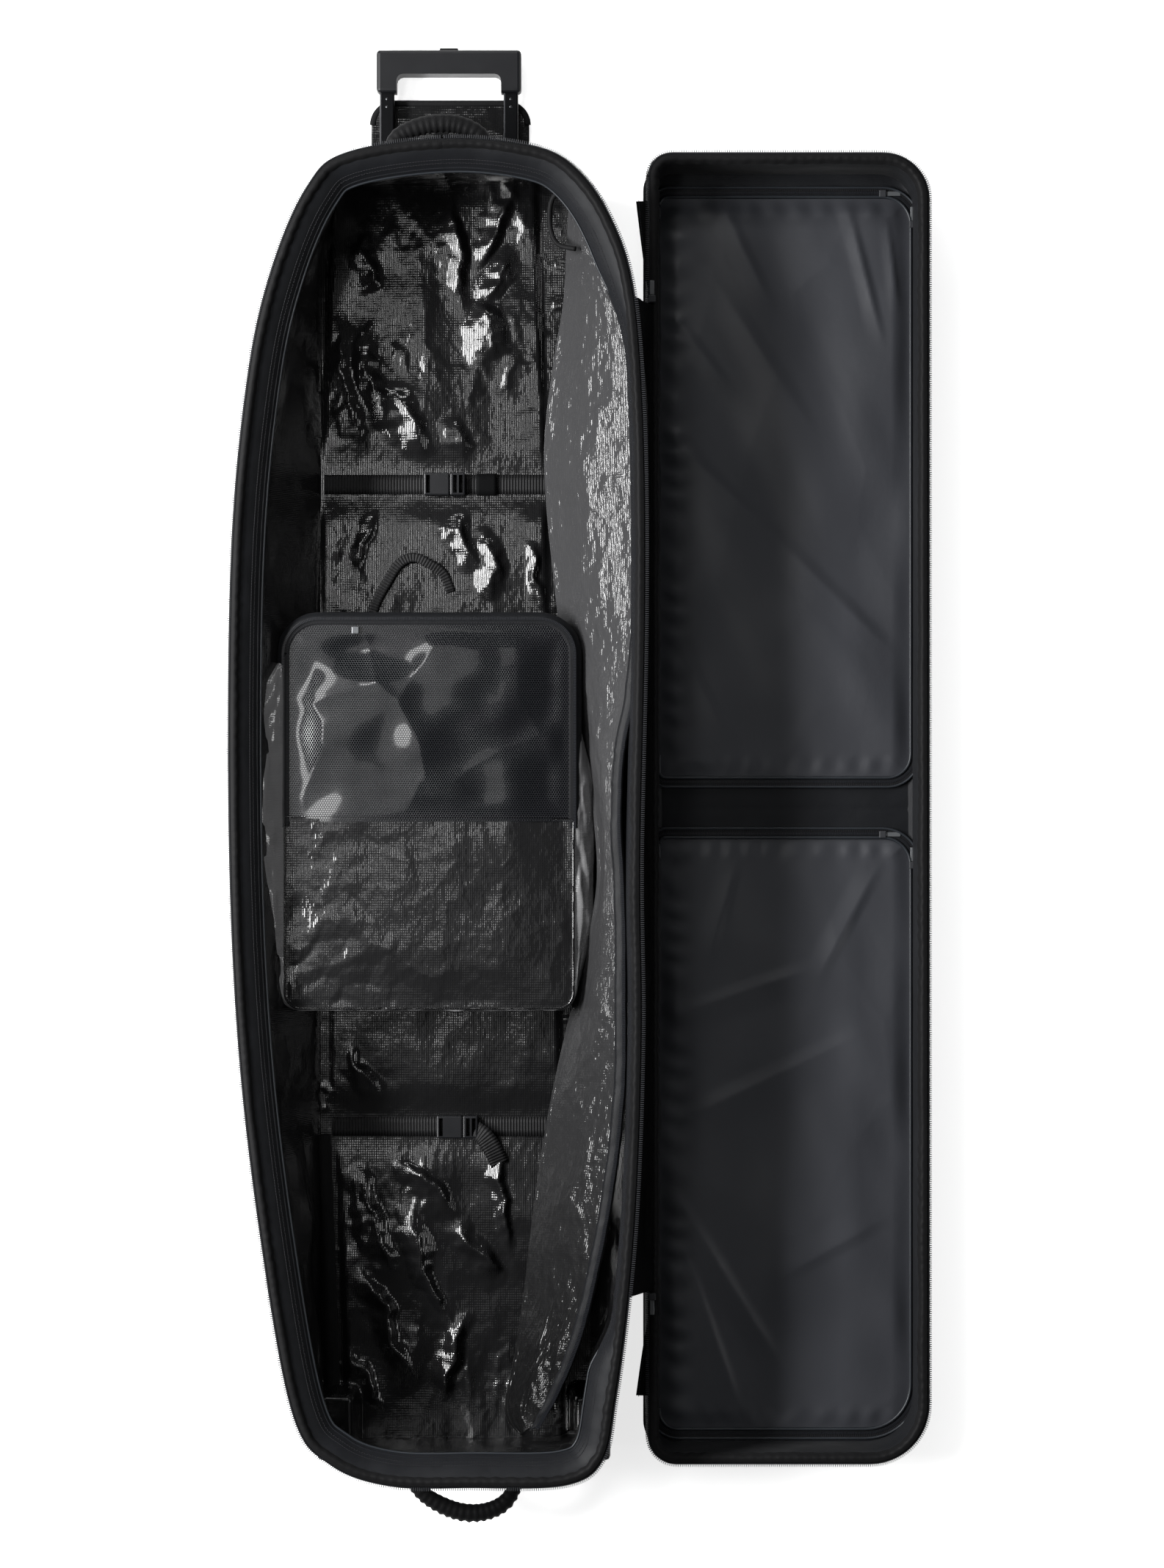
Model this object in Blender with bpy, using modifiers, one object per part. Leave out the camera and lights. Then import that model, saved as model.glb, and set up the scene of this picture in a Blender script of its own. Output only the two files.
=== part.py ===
"""Wheeled split-level snowboard bag, lying open on the floor.

The base tub is on the left (-X) and the lid on the right (+X). +Y runs towards the trolley handle,
the wheels are at the -Y end and +Z is up. The origin is the centre of the footprint, on the floor.
"""

import math

import bmesh
import bpy
from mathutils import Vector

# ---------------------------------------------------------------- driving dimensions (metres)
GAP = 0.0004  # between pieces that touch

FLOOR_LEFT, FLOOR_RIGHT = -0.336, 0.012  # the tub's floor
FLOOR_BOTTOM, FLOOR_TOP = -0.850, 0.770
FLOOR_CORNER = 0.060
PIVOT_Z = 0.020  # height at which the side walls bend from the floor
WALL_LENGTH = 0.193  # from that bend to the rim
SPLIT_TOP, SPLIT_BOTTOM = 0.645, -0.700  # where the side walls meet the end walls
WALL_GAP = 0.002
OPENING_TOP, OPENING_BOTTOM = 0.604, -0.650  # where the main zip's two sliders stop, at the ends of the hinge
COLLAR_WIDTH, COLLAR_DROP = 0.036, 0.022  # facing between the main zip and the divider's zip
WALL_THICK = 0.004

# The open base's rim, clockwise from the middle of the handle end. The side away from the lid sags out.
RIM_POINTS = [
    (-0.168, 0.787), (-0.065, 0.778), (-0.010, 0.752), (0.035, 0.690), (0.064, 0.600),
    (0.077, 0.430), (0.079, 0.200), (0.073, -0.100), (0.075, -0.305), (0.069, -0.500),
    (0.058, -0.640), (0.042, -0.760), (0.026, -0.835), (-0.020, -0.866), (-0.134, -0.869),
    (-0.235, -0.867), (-0.308, -0.841), (-0.354, -0.781), (-0.392, -0.584), (-0.423, -0.335),
    (-0.436, -0.060), (-0.433, 0.277), (-0.411, 0.500), (-0.380, 0.630), (-0.337, 0.727),
    (-0.290, 0.768),
]

RAIL_HEIGHT = 0.010
BACK_PANEL_THICK = 0.004
TUBE_CENTRE_X, TUBE_SPACING = -0.171, 0.159
OUTER_TUBE = (0.024, 0.016)  # width and height of the fixed trolley tubes
TUBE_WALL = 0.001
TUBE_CLEARANCE = 0.0003
GRIP_TOP, GRIP_JUNCTION = 0.937, 0.882

LID_LEFT, LID_RIGHT = 0.083, 0.437
LID_BOTTOM, LID_TOP = -0.862, 0.789
LID_DEPTH = 0.108
LID_THICK = 0.005
ZIP_HEIGHT = 0.004
POCKET_Z, POCKET_THICK = 0.034, 0.0025

WHEEL_RADIUS, WHEEL_WIDTH = 0.035, 0.026
WHEEL_CENTRE_X, WHEEL_HALF_TRACK = -0.150, 0.166
WHEEL_Y = -0.832

POUCH_LOW, POUCH_HIGH = (-0.328, -0.289, 0.0366), (-0.012, 0.197, 0.130)
STRAP_WIDTH, STRAP_THICK = 0.025, 0.0016
BUCKLE_SOCKET, BUCKLE_FRAME = 0.033, 0.0195  # lengths of a side-release buckle's two halves
BUCKLE_HALF_WIDTH, BUCKLE_THICK = 0.0145, 0.009
UPPER_STRAP_Y, LOWER_STRAP_Y = 0.378, -0.445

BACK_PANEL_Z = RAIL_HEIGHT + GAP
TUBE_Z = BACK_PANEL_Z + BACK_PANEL_THICK + GAP
SHEET_Z = TUBE_Z + OUTER_TUBE[1] + GAP
SHEET_THICK = 0.0025
LINER_Z = SHEET_Z + SHEET_THICK + GAP
LINER_THICK = 0.002
FLOOR_Z = LINER_Z + LINER_THICK  # the top of the liner, on which everything in the tub lies

# ---------------------------------------------------------------- materials
COLOURS = {
    "shell_fabric": ((0.018, 0.019, 0.021), 0.85, 0.0),
    "binding": ((0.014, 0.014, 0.015), 0.80, 0.0),
    "liner_tarp": ((0.012, 0.012, 0.013), 0.18, 0.0),
    "pocket_nylon": ((0.028, 0.030, 0.035), 0.55, 0.0),
    "webbing": ((0.012, 0.012, 0.012), 0.75, 0.0),
    "black_plastic": ((0.020, 0.021, 0.023), 0.38, 0.0),
    "tube_metal": ((0.015, 0.015, 0.016), 0.35, 0.8),
    "steel": ((0.45, 0.45, 0.46), 0.35, 1.0),
    "zip": ((0.020, 0.021, 0.022), 0.45, 0.0),
    "stiffener": ((0.030, 0.030, 0.030), 0.60, 0.0),
    "tyre": ((0.020, 0.020, 0.020), 0.70, 0.0),
    "clear_vinyl": ((0.16, 0.17, 0.18), 0.10, 0.0),
}


def make_materials():
    made = {}
    for name, (rgb, roughness, metallic) in COLOURS.items():
        material = bpy.data.materials.new(name)
        material.use_nodes = True
        shader = material.node_tree.nodes["Principled BSDF"]
        shader.inputs["Base Color"].default_value = (*rgb, 1)
        shader.inputs["Roughness"].default_value = roughness
        shader.inputs["Metallic"].default_value = metallic
        made[name] = material
    return made


# ---------------------------------------------------------------- scene helpers
def clear_scene():
    for obj in list(bpy.data.objects):
        bpy.data.objects.remove(obj)


def new_collection(name, hidden=False):
    collection = bpy.data.collections.new(name)
    bpy.context.scene.collection.children.link(collection)
    collection.hide_render = hidden
    return collection


def add_object(name, data, material):
    obj = bpy.data.objects.new(name, data)
    PARTS.objects.link(obj)
    if material:
        data.materials.append(MATERIALS[material])
    return obj


def mesh_from(bm, name):
    bmesh.ops.recalc_face_normals(bm, faces=bm.faces)
    mesh = bpy.data.meshes.new(name)
    bm.to_mesh(mesh)
    bm.free()
    return mesh


def box(name, low, high, material, bevel=0.0, segments=2):
    """A box between two corners, with rounded edges, its origin at its middle."""
    low, high = Vector(low), Vector(high)
    bm = bmesh.new()
    bmesh.ops.create_cube(bm, size=1)
    bmesh.ops.scale(bm, vec=high - low, verts=bm.verts)
    obj = add_object(name, mesh_from(bm, name), material)
    obj.location = (low + high) / 2
    if bevel:
        rounding = obj.modifiers.new("rounding", "BEVEL")
        rounding.width, rounding.segments = bevel, segments
        rounding.limit_method = "ANGLE"
    return obj


def cylinder_x(name, centre, radius, length, material, segments=32):
    """A cylinder along X."""
    bm = bmesh.new()
    bmesh.ops.create_cone(
        bm, cap_ends=True, segments=segments, radius1=radius, radius2=radius, depth=length
    )
    obj = add_object(name, mesh_from(bm, name), material)
    obj.rotation_euler = (0, math.pi / 2, 0)
    obj.location = centre
    return obj


def plate(name, outlines, low, high, material):
    """A flat plate between two heights. The first outline is its edge and any others are holes."""
    curve = bpy.data.curves.new(name, "CURVE")
    curve.dimensions = "2D"
    curve.fill_mode = "BOTH"
    curve.extrude = (high - low) / 2
    for outline in outlines:
        spline = curve.splines.new("POLY")
        spline.points.add(len(outline) - 1)
        for point, (x, y) in zip(spline.points, outline):
            point.co = (x, y, 0, 1)
        spline.use_cyclic_u = True
    obj = add_object(name, curve, material)
    obj.location.z = (low + high) / 2
    return obj


def tube(name, points, radius, material, sides=2):
    """A round tube along a smooth curve through points."""
    curve = bpy.data.curves.new(name, "CURVE")
    curve.dimensions = "3D"
    curve.bevel_depth = radius
    curve.bevel_resolution = sides
    curve.use_fill_caps = True
    spline = curve.splines.new("POLY")
    path = smooth(points, 3, closed=False)
    spline.points.add(len(path) - 1)
    for point, place in zip(spline.points, path):
        point.co = (*place, 1)
    return add_object(name, curve, material)


def sheet(name, rows, thickness, material, offset=-1.0):
    """A shell of one thickness on a grid of points."""
    bm = bmesh.new()
    grid = [[bm.verts.new(p) for p in row] for row in rows]
    for low_row, high_row in zip(grid, grid[1:]):
        for a, b, c, d in zip(low_row, low_row[1:], high_row[1:], high_row):
            bm.faces.new((a, b, c, d))
    mesh = bpy.data.meshes.new(name)
    bm.to_mesh(mesh)
    bm.free()
    obj = add_object(name, mesh, material)
    solid = obj.modifiers.new("thickness", "SOLIDIFY")
    solid.thickness, solid.offset = thickness, offset
    return obj


def as_mesh(obj):
    """Turns a curve object, or one with modifiers, into a plain closed mesh object of the same name."""
    graph = bpy.context.evaluated_depsgraph_get()
    mesh = bpy.data.meshes.new_from_object(obj.evaluated_get(graph))
    bm = bmesh.new()
    bm.from_mesh(mesh)
    bmesh.ops.remove_doubles(bm, verts=bm.verts, dist=0.00001)
    bmesh.ops.recalc_face_normals(bm, faces=bm.faces)
    bm.to_mesh(mesh)
    bm.free()
    name, place = obj.name, obj.matrix_world.copy()
    bpy.data.objects.remove(obj)
    made = bpy.data.objects.new(name, mesh)
    made.matrix_world = place
    PARTS.objects.link(made)
    return made


def combine(obj, other, operation):
    """Joins other to obj, or cuts it from obj. The other object moves to the hidden cutters."""
    change = obj.modifiers.new(operation.lower(), "BOOLEAN")
    change.operation = operation
    change.object = other
    PARTS.objects.unlink(other)
    CUTTERS.objects.link(other)
    other.hide_render = True
    other.display_type = "WIRE"
    other.name = f"tool_{other.name}"
    return obj


# ---------------------------------------------------------------- outlines
def smooth(points, steps, closed=True):
    """A Catmull-Rom curve through points, with steps stretches between each two."""
    points = [Vector(p) for p in points]
    count = len(points)
    made = []
    for i in range(count if closed else count - 1):
        if closed:
            a, b, c, d = (points[(i + k) % count] for k in (-1, 0, 1, 2))
        else:
            a, b, c, d = (points[min(max(i + k, 0), count - 1)] for k in (-1, 0, 1, 2))
        for step in range(steps):
            t = step / steps
            bend, turn = 2 * a - 5 * b + 4 * c - d, 3 * b - a - 3 * c + d
            made.append((2 * b + (c - a) * t + bend * t**2 + turn * t**3) / 2)
    if not closed:
        made.append(points[-1])
    return made


def rounded_rectangle(left, bottom, right, top, radii, steps=5):
    """A rectangle's outline, clockwise from the top left. radii are for its corners in the same order."""
    corners = [
        (left, top, 180, radii[0]),
        (right, top, 90, radii[1]),
        (right, bottom, 0, radii[2]),
        (left, bottom, -90, radii[3]),
    ]
    outline = []
    for x, y, start, radius in corners:
        centre_x = x + radius if x == left else x - radius
        centre_y = y + radius if y == bottom else y - radius
        for step in range(steps + 1):
            angle = math.radians(start - 90 * step / steps)
            outline.append((centre_x + radius * math.cos(angle), centre_y + radius * math.sin(angle)))
    return outline


def stretch_between(outline, start, end):
    """The part of a clockwise outline from one point on it to another, both points included."""

    def nearest(point):
        return min(range(len(outline)), key=lambda i: (Vector(outline[i]) - Vector(point)).length)

    first, last = nearest(start), nearest(end)
    count = (last - first) % len(outline)
    middle = [Vector(outline[(first + i) % len(outline)]) for i in range(1, count)]
    return [Vector(start), *middle, Vector(end)]


def evenly(points, count):
    """Points spread evenly along a line."""
    lengths = [0.0]
    for a, b in zip(points, points[1:]):
        lengths.append(lengths[-1] + (b - a).length)
    made = []
    for i in range(count):
        at = lengths[-1] * i / (count - 1)
        k = max(j for j in range(len(points) - 1) if lengths[j] <= at + 1e-12)
        share = (at - lengths[k]) / (lengths[k + 1] - lengths[k])
        made.append(points[k].lerp(points[k + 1], min(share, 1.0)))
    return made


RIM = smooth(RIM_POINTS, 6)
FLOOR = rounded_rectangle(FLOOR_LEFT, FLOOR_BOTTOM, FLOOR_RIGHT, FLOOR_TOP, [FLOOR_CORNER] * 4)


def rim_x(y, side):
    """Where the rim is at a height y of the plan, on the left (-1) or the right (+1) side."""
    found = []
    for a, b in zip(RIM, RIM[1:] + RIM[:1]):
        if min(a.y, b.y) <= y < max(a.y, b.y):
            found.append(a.x + (b.x - a.x) * (y - a.y) / (b.y - a.y))
    return max(found) if side > 0 else min(found)


def wall_rows(floor_line, rim_line):
    """The rows of a wall's grid, from the floor up to the rim and then down the collar."""
    rows = []
    for share in (0.0, 0.33, 0.66, 1.0):
        row = []
        for foot, rim in zip(floor_line, rim_line):
            splay = (rim - foot).length
            height = math.sqrt(max(WALL_LENGTH**2 - splay**2, 0))
            point = foot.lerp(rim, share)
            row.append((point.x, point.y, PIVOT_Z + height * share))
        rows.append(row)
    collar = []
    for i, rim in enumerate(rim_line):
        before, after = rim_line[max(i - 1, 0)], rim_line[min(i + 1, len(rim_line) - 1)]
        along = (after - before).normalized()
        inward = Vector((along.y, -along.x))  # the outline runs clockwise
        point = rim + inward * COLLAR_WIDTH
        collar.append((point.x, point.y, rows[-1][i][2] - COLLAR_DROP))
    return [*rows, collar]


# ---------------------------------------------------------------- the base tub
def side_wall(name, side):
    """A long wall. It is a body of its own, because it swings up as the lid closes."""
    count = 13
    low, high = SPLIT_BOTTOM + WALL_GAP, SPLIT_TOP - WALL_GAP
    ys = [low + (high - low) * i / (count - 1) for i in range(count)]
    if side > 0:
        ys.reverse()  # clockwise: down the right side and up the left one
    edge = FLOOR_RIGHT if side > 0 else FLOOR_LEFT
    foot = [Vector((edge + side * 0.002, y)) for y in ys]
    rim = [Vector((rim_x(y, side), y)) for y in ys]
    rows = wall_rows(foot, rim)
    rows[-1] = [(x, y, z) for (x, _, z), y in zip(rows[-1], ys)]
    return sheet(name, rows, WALL_THICK, "shell_fabric", offset=-1.0)


def end_wall(name, end):
    """The wall round the handle end (+1) or the wheel end (-1), from one side wall to the other."""
    y = SPLIT_TOP if end > 0 else SPLIT_BOTTOM
    left_x, right_x = rim_x(y, -1), rim_x(y, 1)
    sides = [(left_x, FLOOR_LEFT - 0.002), (right_x, FLOOR_RIGHT + 0.002)]
    if end < 0:
        sides.reverse()
    (rim_start, foot_start), (rim_end, foot_end) = sides
    count = 29
    rim = evenly(stretch_between(RIM, (rim_start, y), (rim_end, y)), count)
    foot = evenly(stretch_between(FLOOR, (foot_start, y), (foot_end, y)), count)
    rows = wall_rows(foot, rim)
    for at in (0, -1):
        x, _, z = rows[-1][at]
        rows[-1][at] = (x, y, z)
    return sheet(name, rows, WALL_THICK, "shell_fabric", offset=-1.0)


def wheel_positions():
    """Name and middle of each wheel."""
    return [
        ("left", Vector((WHEEL_CENTRE_X - WHEEL_HALF_TRACK, WHEEL_Y, WHEEL_RADIUS))),
        ("right", Vector((WHEEL_CENTRE_X + WHEEL_HALF_TRACK, WHEEL_Y, WHEEL_RADIUS))),
    ]


def housing_corners(centre, margin=0.0):
    """The two corners of the block round a wheel."""
    half_width = WHEEL_WIDTH / 2 + 0.007 + margin
    low = (centre.x - half_width, WHEEL_Y - 0.033 - margin, BACK_PANEL_Z - 0.004 - margin)
    high = (centre.x + half_width, WHEEL_Y + 0.045 + margin, 2 * WHEEL_RADIUS + 0.010 + margin)
    return low, high


def cut_wheel_wells(obj):
    for side, centre in wheel_positions():
        low, high = housing_corners(centre, margin=0.0006)
        low = (low[0], low[1] - 0.030, low[2] - 0.010)
        combine(obj, box(f"well_{side}_{obj.name}", low, high, None), "DIFFERENCE")
    return obj


def make_tub():
    inset = 0.006
    floor_edge = rounded_rectangle(
        FLOOR_LEFT + inset, FLOOR_BOTTOM + 0.010, FLOOR_RIGHT - inset, FLOOR_TOP - 0.010, [FLOOR_CORNER] * 4
    )
    layers = [
        ("back_panel", BACK_PANEL_Z, BACK_PANEL_THICK, "shell_fabric"),
        ("stiffener_sheet", SHEET_Z, SHEET_THICK, "stiffener"),
        ("floor_liner", LINER_Z, LINER_THICK, "liner_tarp"),
    ]
    for name, z, thickness, material in layers:
        layer = as_mesh(plate(name, [floor_edge], z, z + thickness, material))
        cut_wheel_wells(layer)
    side_wall("side_wall_left", -1)
    side_wall("side_wall_right", 1)
    handle_end = as_mesh(end_wall("end_wall_handle_end", 1))
    bezel_notch = box("bezel_notch", (-0.274, 0.74, -0.05), (-0.068, 0.82, SHEET_Z + 0.007), None)
    combine(handle_end, bezel_notch, "DIFFERENCE")
    cut_wheel_wells(as_mesh(end_wall("end_wall_wheel_end", -1)))
    for side, x in (("left", -0.262), ("right", -0.062)):
        low, high = (x - 0.006, -0.700, 0), (x + 0.006, 0.640, RAIL_HEIGHT)
        box(f"skid_rail_{side}", low, high, "black_plastic", 0.003)


# ---------------------------------------------------------------- wheels
def make_wheels():
    for side, centre in wheel_positions():
        low, high = housing_corners(centre)
        housing = box(f"wheel_housing_{side}", low, high, "black_plastic", 0.006)
        slot_half = WHEEL_WIDTH / 2 + 0.002
        slot = box(
            f"slot_{side}",
            (centre.x - slot_half, WHEEL_Y - 0.060, -0.020),
            (centre.x + slot_half, WHEEL_Y + WHEEL_RADIUS + 0.003, 2 * WHEEL_RADIUS + 0.003),
            None,
        )
        combine(housing, slot, "DIFFERENCE")
        axle_radius, hub_radius, tyre_inner = 0.004, 0.024, 0.0245
        bore = cylinder_x(f"axle_bore_{side}", centre, axle_radius + 0.0003, 0.2, None, 24)
        combine(housing, bore, "DIFFERENCE")
        cylinder_x(f"axle_{side}", centre, axle_radius, WHEEL_WIDTH + 0.012, "steel", 24)
        tyre = cylinder_x(f"tyre_{side}", centre, WHEEL_RADIUS, WHEEL_WIDTH, "tyre", 40)
        rounding = tyre.modifiers.new("rounding", "BEVEL")
        rounding.width, rounding.segments, rounding.limit_method = 0.006, 2, "ANGLE"
        combine(tyre, cylinder_x(f"tyre_bore_{side}", centre, tyre_inner, 0.1, None, 40), "DIFFERENCE")
        hub = cylinder_x(f"hub_{side}", centre, hub_radius, WHEEL_WIDTH - 0.004, "black_plastic", 32)
        hub_bore = cylinder_x(f"hub_bore_{side}", centre, axle_radius + 0.0003, 0.1, None, 24)
        combine(hub, hub_bore, "DIFFERENCE")


# ---------------------------------------------------------------- trolley
def hollow_tube(name, x, start, end, size, middle_z):
    """A rectangular tube along Y, open at both ends."""
    width, height = size
    body = box(
        name, (x - width / 2, start, middle_z - height / 2), (x + width / 2, end, middle_z + height / 2),
        "tube_metal", 0.002, 2,
    )
    inner = (width / 2 - TUBE_WALL, height / 2 - TUBE_WALL)
    hole = box(
        f"hole_{name}",
        (x - inner[0], start - 0.01, middle_z - inner[1]),
        (x + inner[0], end + 0.01, middle_z + inner[1]), None,
    )
    return combine(body, hole, "DIFFERENCE")


def nested(size):
    """The size of the tube that slides inside one of this size."""
    less = 2 * (TUBE_WALL + TUBE_CLEARANCE)
    return size[0] - less, size[1] - less


def make_trolley():
    middle_z = TUBE_Z + OUTER_TUBE[1] / 2
    stage_two, stage_three = nested(OUTER_TUBE), nested(nested(OUTER_TUBE))
    xs = {"left": TUBE_CENTRE_X - TUBE_SPACING / 2, "right": TUBE_CENTRE_X + TUBE_SPACING / 2}
    bezel = box(
        "handle_bezel",
        (xs["left"] - 0.022, 0.7635, BACK_PANEL_Z), (xs["right"] + 0.022, 0.800, SHEET_Z + 0.006),
        "black_plastic", 0.004,
    )
    for side, x in xs.items():
        hollow_tube(f"outer_tube_{side}", x, 0.340, 0.794, OUTER_TUBE, middle_z)
        hollow_tube(f"middle_tube_{side}", x, 0.400, 0.800, stage_two, middle_z)
        hollow_tube(f"top_tube_{side}", x, 0.450, GRIP_JUNCTION + 0.022, stage_three, middle_z)
        half = (OUTER_TUBE[0] / 2 + GAP, OUTER_TUBE[1] / 2 + GAP)
        slot = box(
            f"bezel_slot_{side}",
            (x - half[0], 0.70, middle_z - half[1]), (x + half[0], 0.90, middle_z + half[1]), None,
        )
        combine(bezel, slot, "DIFFERENCE")
    make_grip(xs, stage_three, middle_z)


def make_grip(xs, tube_size, middle_z):
    """The U-shaped handle, its push button, and the bar and rods by which the button frees the tubes."""
    half_depth, leg_half, bar_low = 0.0115, 0.0135, GRIP_TOP - 0.0315
    grip = box(
        "trolley_grip",
        (xs["left"] - leg_half, GRIP_JUNCTION, middle_z - half_depth),
        (xs["right"] + leg_half, GRIP_TOP, middle_z + half_depth),
        "black_plastic", 0.005, 3,
    )
    opening = box(
        "grip_opening",
        (xs["left"] + leg_half - 0.001, GRIP_JUNCTION - 0.02, -0.05),
        (xs["right"] - leg_half + 0.001, bar_low, 0.1), None, 0.008, 3,
    )
    combine(grip, opening, "DIFFERENCE")
    rod_radius, bar_y = 0.002, GRIP_TOP - 0.0185
    for side, x in xs.items():
        half = (tube_size[0] / 2 + GAP, tube_size[1] / 2 + GAP)
        socket = box(
            f"grip_socket_{side}",
            (x - half[0], GRIP_JUNCTION - 0.01, middle_z - half[1]),
            (x + half[0], GRIP_JUNCTION + 0.0224, middle_z + half[1]), None,
        )
        combine(grip, socket, "DIFFERENCE")
        channel = box(
            f"rod_channel_{side}", (x - 0.004, GRIP_JUNCTION, middle_z - 0.004),
            (x + 0.004, bar_y + 0.0035, middle_z + 0.004), None,
        )
        combine(grip, channel, "DIFFERENCE")
    bar_slot = box(
        "bar_slot", (xs["left"] - 0.004, bar_y - 0.008, middle_z - 0.004),
        (xs["right"] + 0.004, bar_y + 0.0035, middle_z + 0.004), None,
    )
    combine(grip, bar_slot, "DIFFERENCE")
    button_half = (0.012, 0.006)
    button_hole = box(
        "button_hole",
        (TUBE_CENTRE_X - button_half[0] - GAP, bar_y, middle_z - button_half[1] - GAP),
        (TUBE_CENTRE_X + button_half[0] + GAP, GRIP_TOP + 0.02, middle_z + button_half[1] + GAP), None,
    )
    combine(grip, button_hole, "DIFFERENCE")
    box(
        "release_button",
        (TUBE_CENTRE_X - button_half[0], bar_y + 0.0035, middle_z - button_half[1]),
        (TUBE_CENTRE_X + button_half[0], GRIP_TOP + 0.003, middle_z + button_half[1]),
        "black_plastic", 0.0015,
    )
    linkage = box(
        "release_linkage", (xs["left"] - 0.0025, bar_y - 0.002, middle_z - 0.0025),
        (xs["right"] + 0.0025, bar_y + 0.003, middle_z + 0.0025), "steel",
    )
    for side, x in xs.items():
        rod = box(
            f"rod_{side}", (x - rod_radius, 0.470, middle_z - rod_radius),
            (x + rod_radius, bar_y + 0.001, middle_z + rod_radius), None,
        )
        combine(linkage, rod, "UNION")


# ---------------------------------------------------------------- things sewn on the ends
def make_end_pieces():
    flap = rounded_rectangle(-0.272, 0.8010, -0.068, 0.874, [0.030, 0.030, 0.002, 0.002])
    plate("handle_cover_flap", [flap], BACK_PANEL_Z - 0.002, BACK_PANEL_Z + 0.0005, "liner_tarp")
    top_z, bottom_z, radius = 0.098, 0.090, 0.010
    tube(
        "grab_handle_top",
        [(-0.245, 0.799, top_z), (-0.230, 0.814, top_z), (-0.198, 0.826, top_z), (-0.164, 0.828, top_z),
         (-0.132, 0.817, top_z), (-0.116, 0.799, top_z)],
        radius, "binding",
    )
    tube(
        "grab_handle_bottom",
        [(-0.220, -0.886, bottom_z), (-0.196, -0.908, bottom_z), (-0.160, -0.926, bottom_z),
         (-0.125, -0.928, bottom_z), (-0.096, -0.915, bottom_z), (-0.078, -0.888, bottom_z)],
        radius, "binding",
    )


# ---------------------------------------------------------------- what lies in the tub
def make_strap(prefix, y, socket_x, left_end, right_end):
    """A compression strap in two halves, with the socket and plug of its side-release buckle."""
    half = STRAP_WIDTH / 2
    low_z, high_z = FLOOR_Z + GAP, FLOOR_Z + GAP + STRAP_THICK
    frame_x = socket_x + BUCKLE_SOCKET + 0.0005
    box(f"{prefix}_strap_left", (left_end, y - half, low_z), (socket_x + 0.011, y + half, high_z), "webbing")
    box(f"{prefix}_strap_right", (frame_x + 0.006, y - half, low_z), (right_end, y + half, high_z), "webbing")
    buckle_z = high_z + GAP
    top_z = buckle_z + BUCKLE_THICK
    socket = box(
        f"{prefix}_buckle_socket", (socket_x, y - BUCKLE_HALF_WIDTH, buckle_z),
        (socket_x + BUCKLE_SOCKET, y + BUCKLE_HALF_WIDTH, top_z), "black_plastic", 0.002,
    )
    mouth = box(
        f"{prefix}_mouth", (socket_x + 0.011, y - 0.0105, buckle_z + 0.002),
        (frame_x + 0.014, y + 0.0105, top_z - 0.002), None,
    )
    combine(socket, mouth, "DIFFERENCE")
    web_slot = box(
        f"{prefix}_web_slot", (socket_x + 0.003, y - 0.0115, buckle_z - 0.01),
        (socket_x + 0.008, y + 0.0115, buckle_z + 0.02), None,
    )
    combine(socket, web_slot, "DIFFERENCE")
    plug = box(
        f"{prefix}_buckle_plug", (frame_x, y - BUCKLE_HALF_WIDTH, buckle_z),
        (frame_x + BUCKLE_FRAME, y + BUCKLE_HALF_WIDTH, top_z), "black_plastic", 0.002,
    )
    for number, start in enumerate((0.004, 0.0115)):
        slot = box(
            f"{prefix}_ladder_{number}", (frame_x + start, y - 0.0115, buckle_z - 0.01),
            (frame_x + start + 0.005, y + 0.0115, buckle_z + 0.02), None,
        )
        combine(plug, slot, "DIFFERENCE")
    for number, centre in enumerate((-0.0075, 0.0075)):
        prong = box(
            f"{prefix}_prong_{number}", (socket_x + 0.014, y + centre - 0.002, buckle_z + 0.0025),
            (frame_x + 0.002, y + centre + 0.002, top_z - 0.0025), None,
        )
        combine(plug, prong, "UNION")


def make_divider():
    """The padded sheet between the two levels, unzipped and folded down beside the right wall."""
    count = 7
    rows = []
    for share, inset, (low_y, high_y) in ((0.72, 0.014, (-0.630, 0.590)), (0.15, 0.014, (-0.600, 0.560))):
        row = []
        for i in range(count):
            y = low_y + (high_y - low_y) * i / (count - 1)
            splay = rim_x(y, 1) - FLOOR_RIGHT - 0.002
            height = math.sqrt(WALL_LENGTH**2 - splay**2)
            row.append((FLOOR_RIGHT + splay * share - inset, y, PIVOT_Z + height * share))
        rows.append(row)
    sheet("divider_flap", rows, 0.003, "liner_tarp", offset=0.0)


def make_pouch():
    low, high = Vector(POUCH_LOW), Vector(POUCH_HIGH)
    box("pouch_body", low, high, "liner_tarp", 0.018, 3)
    box(
        "pouch_window", (low.x + 0.018, -0.030, high.z + GAP),
        (high.x - 0.018, high.y - 0.016, high.z + 0.002), "clear_vinyl",
    )
    start = Vector((low.x + 0.040, high.y - 0.015, high.z + GAP))
    box("pouch_zip_slider", start, start + Vector((0.009, 0.009, 0.005)), "zip", 0.001)


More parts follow.
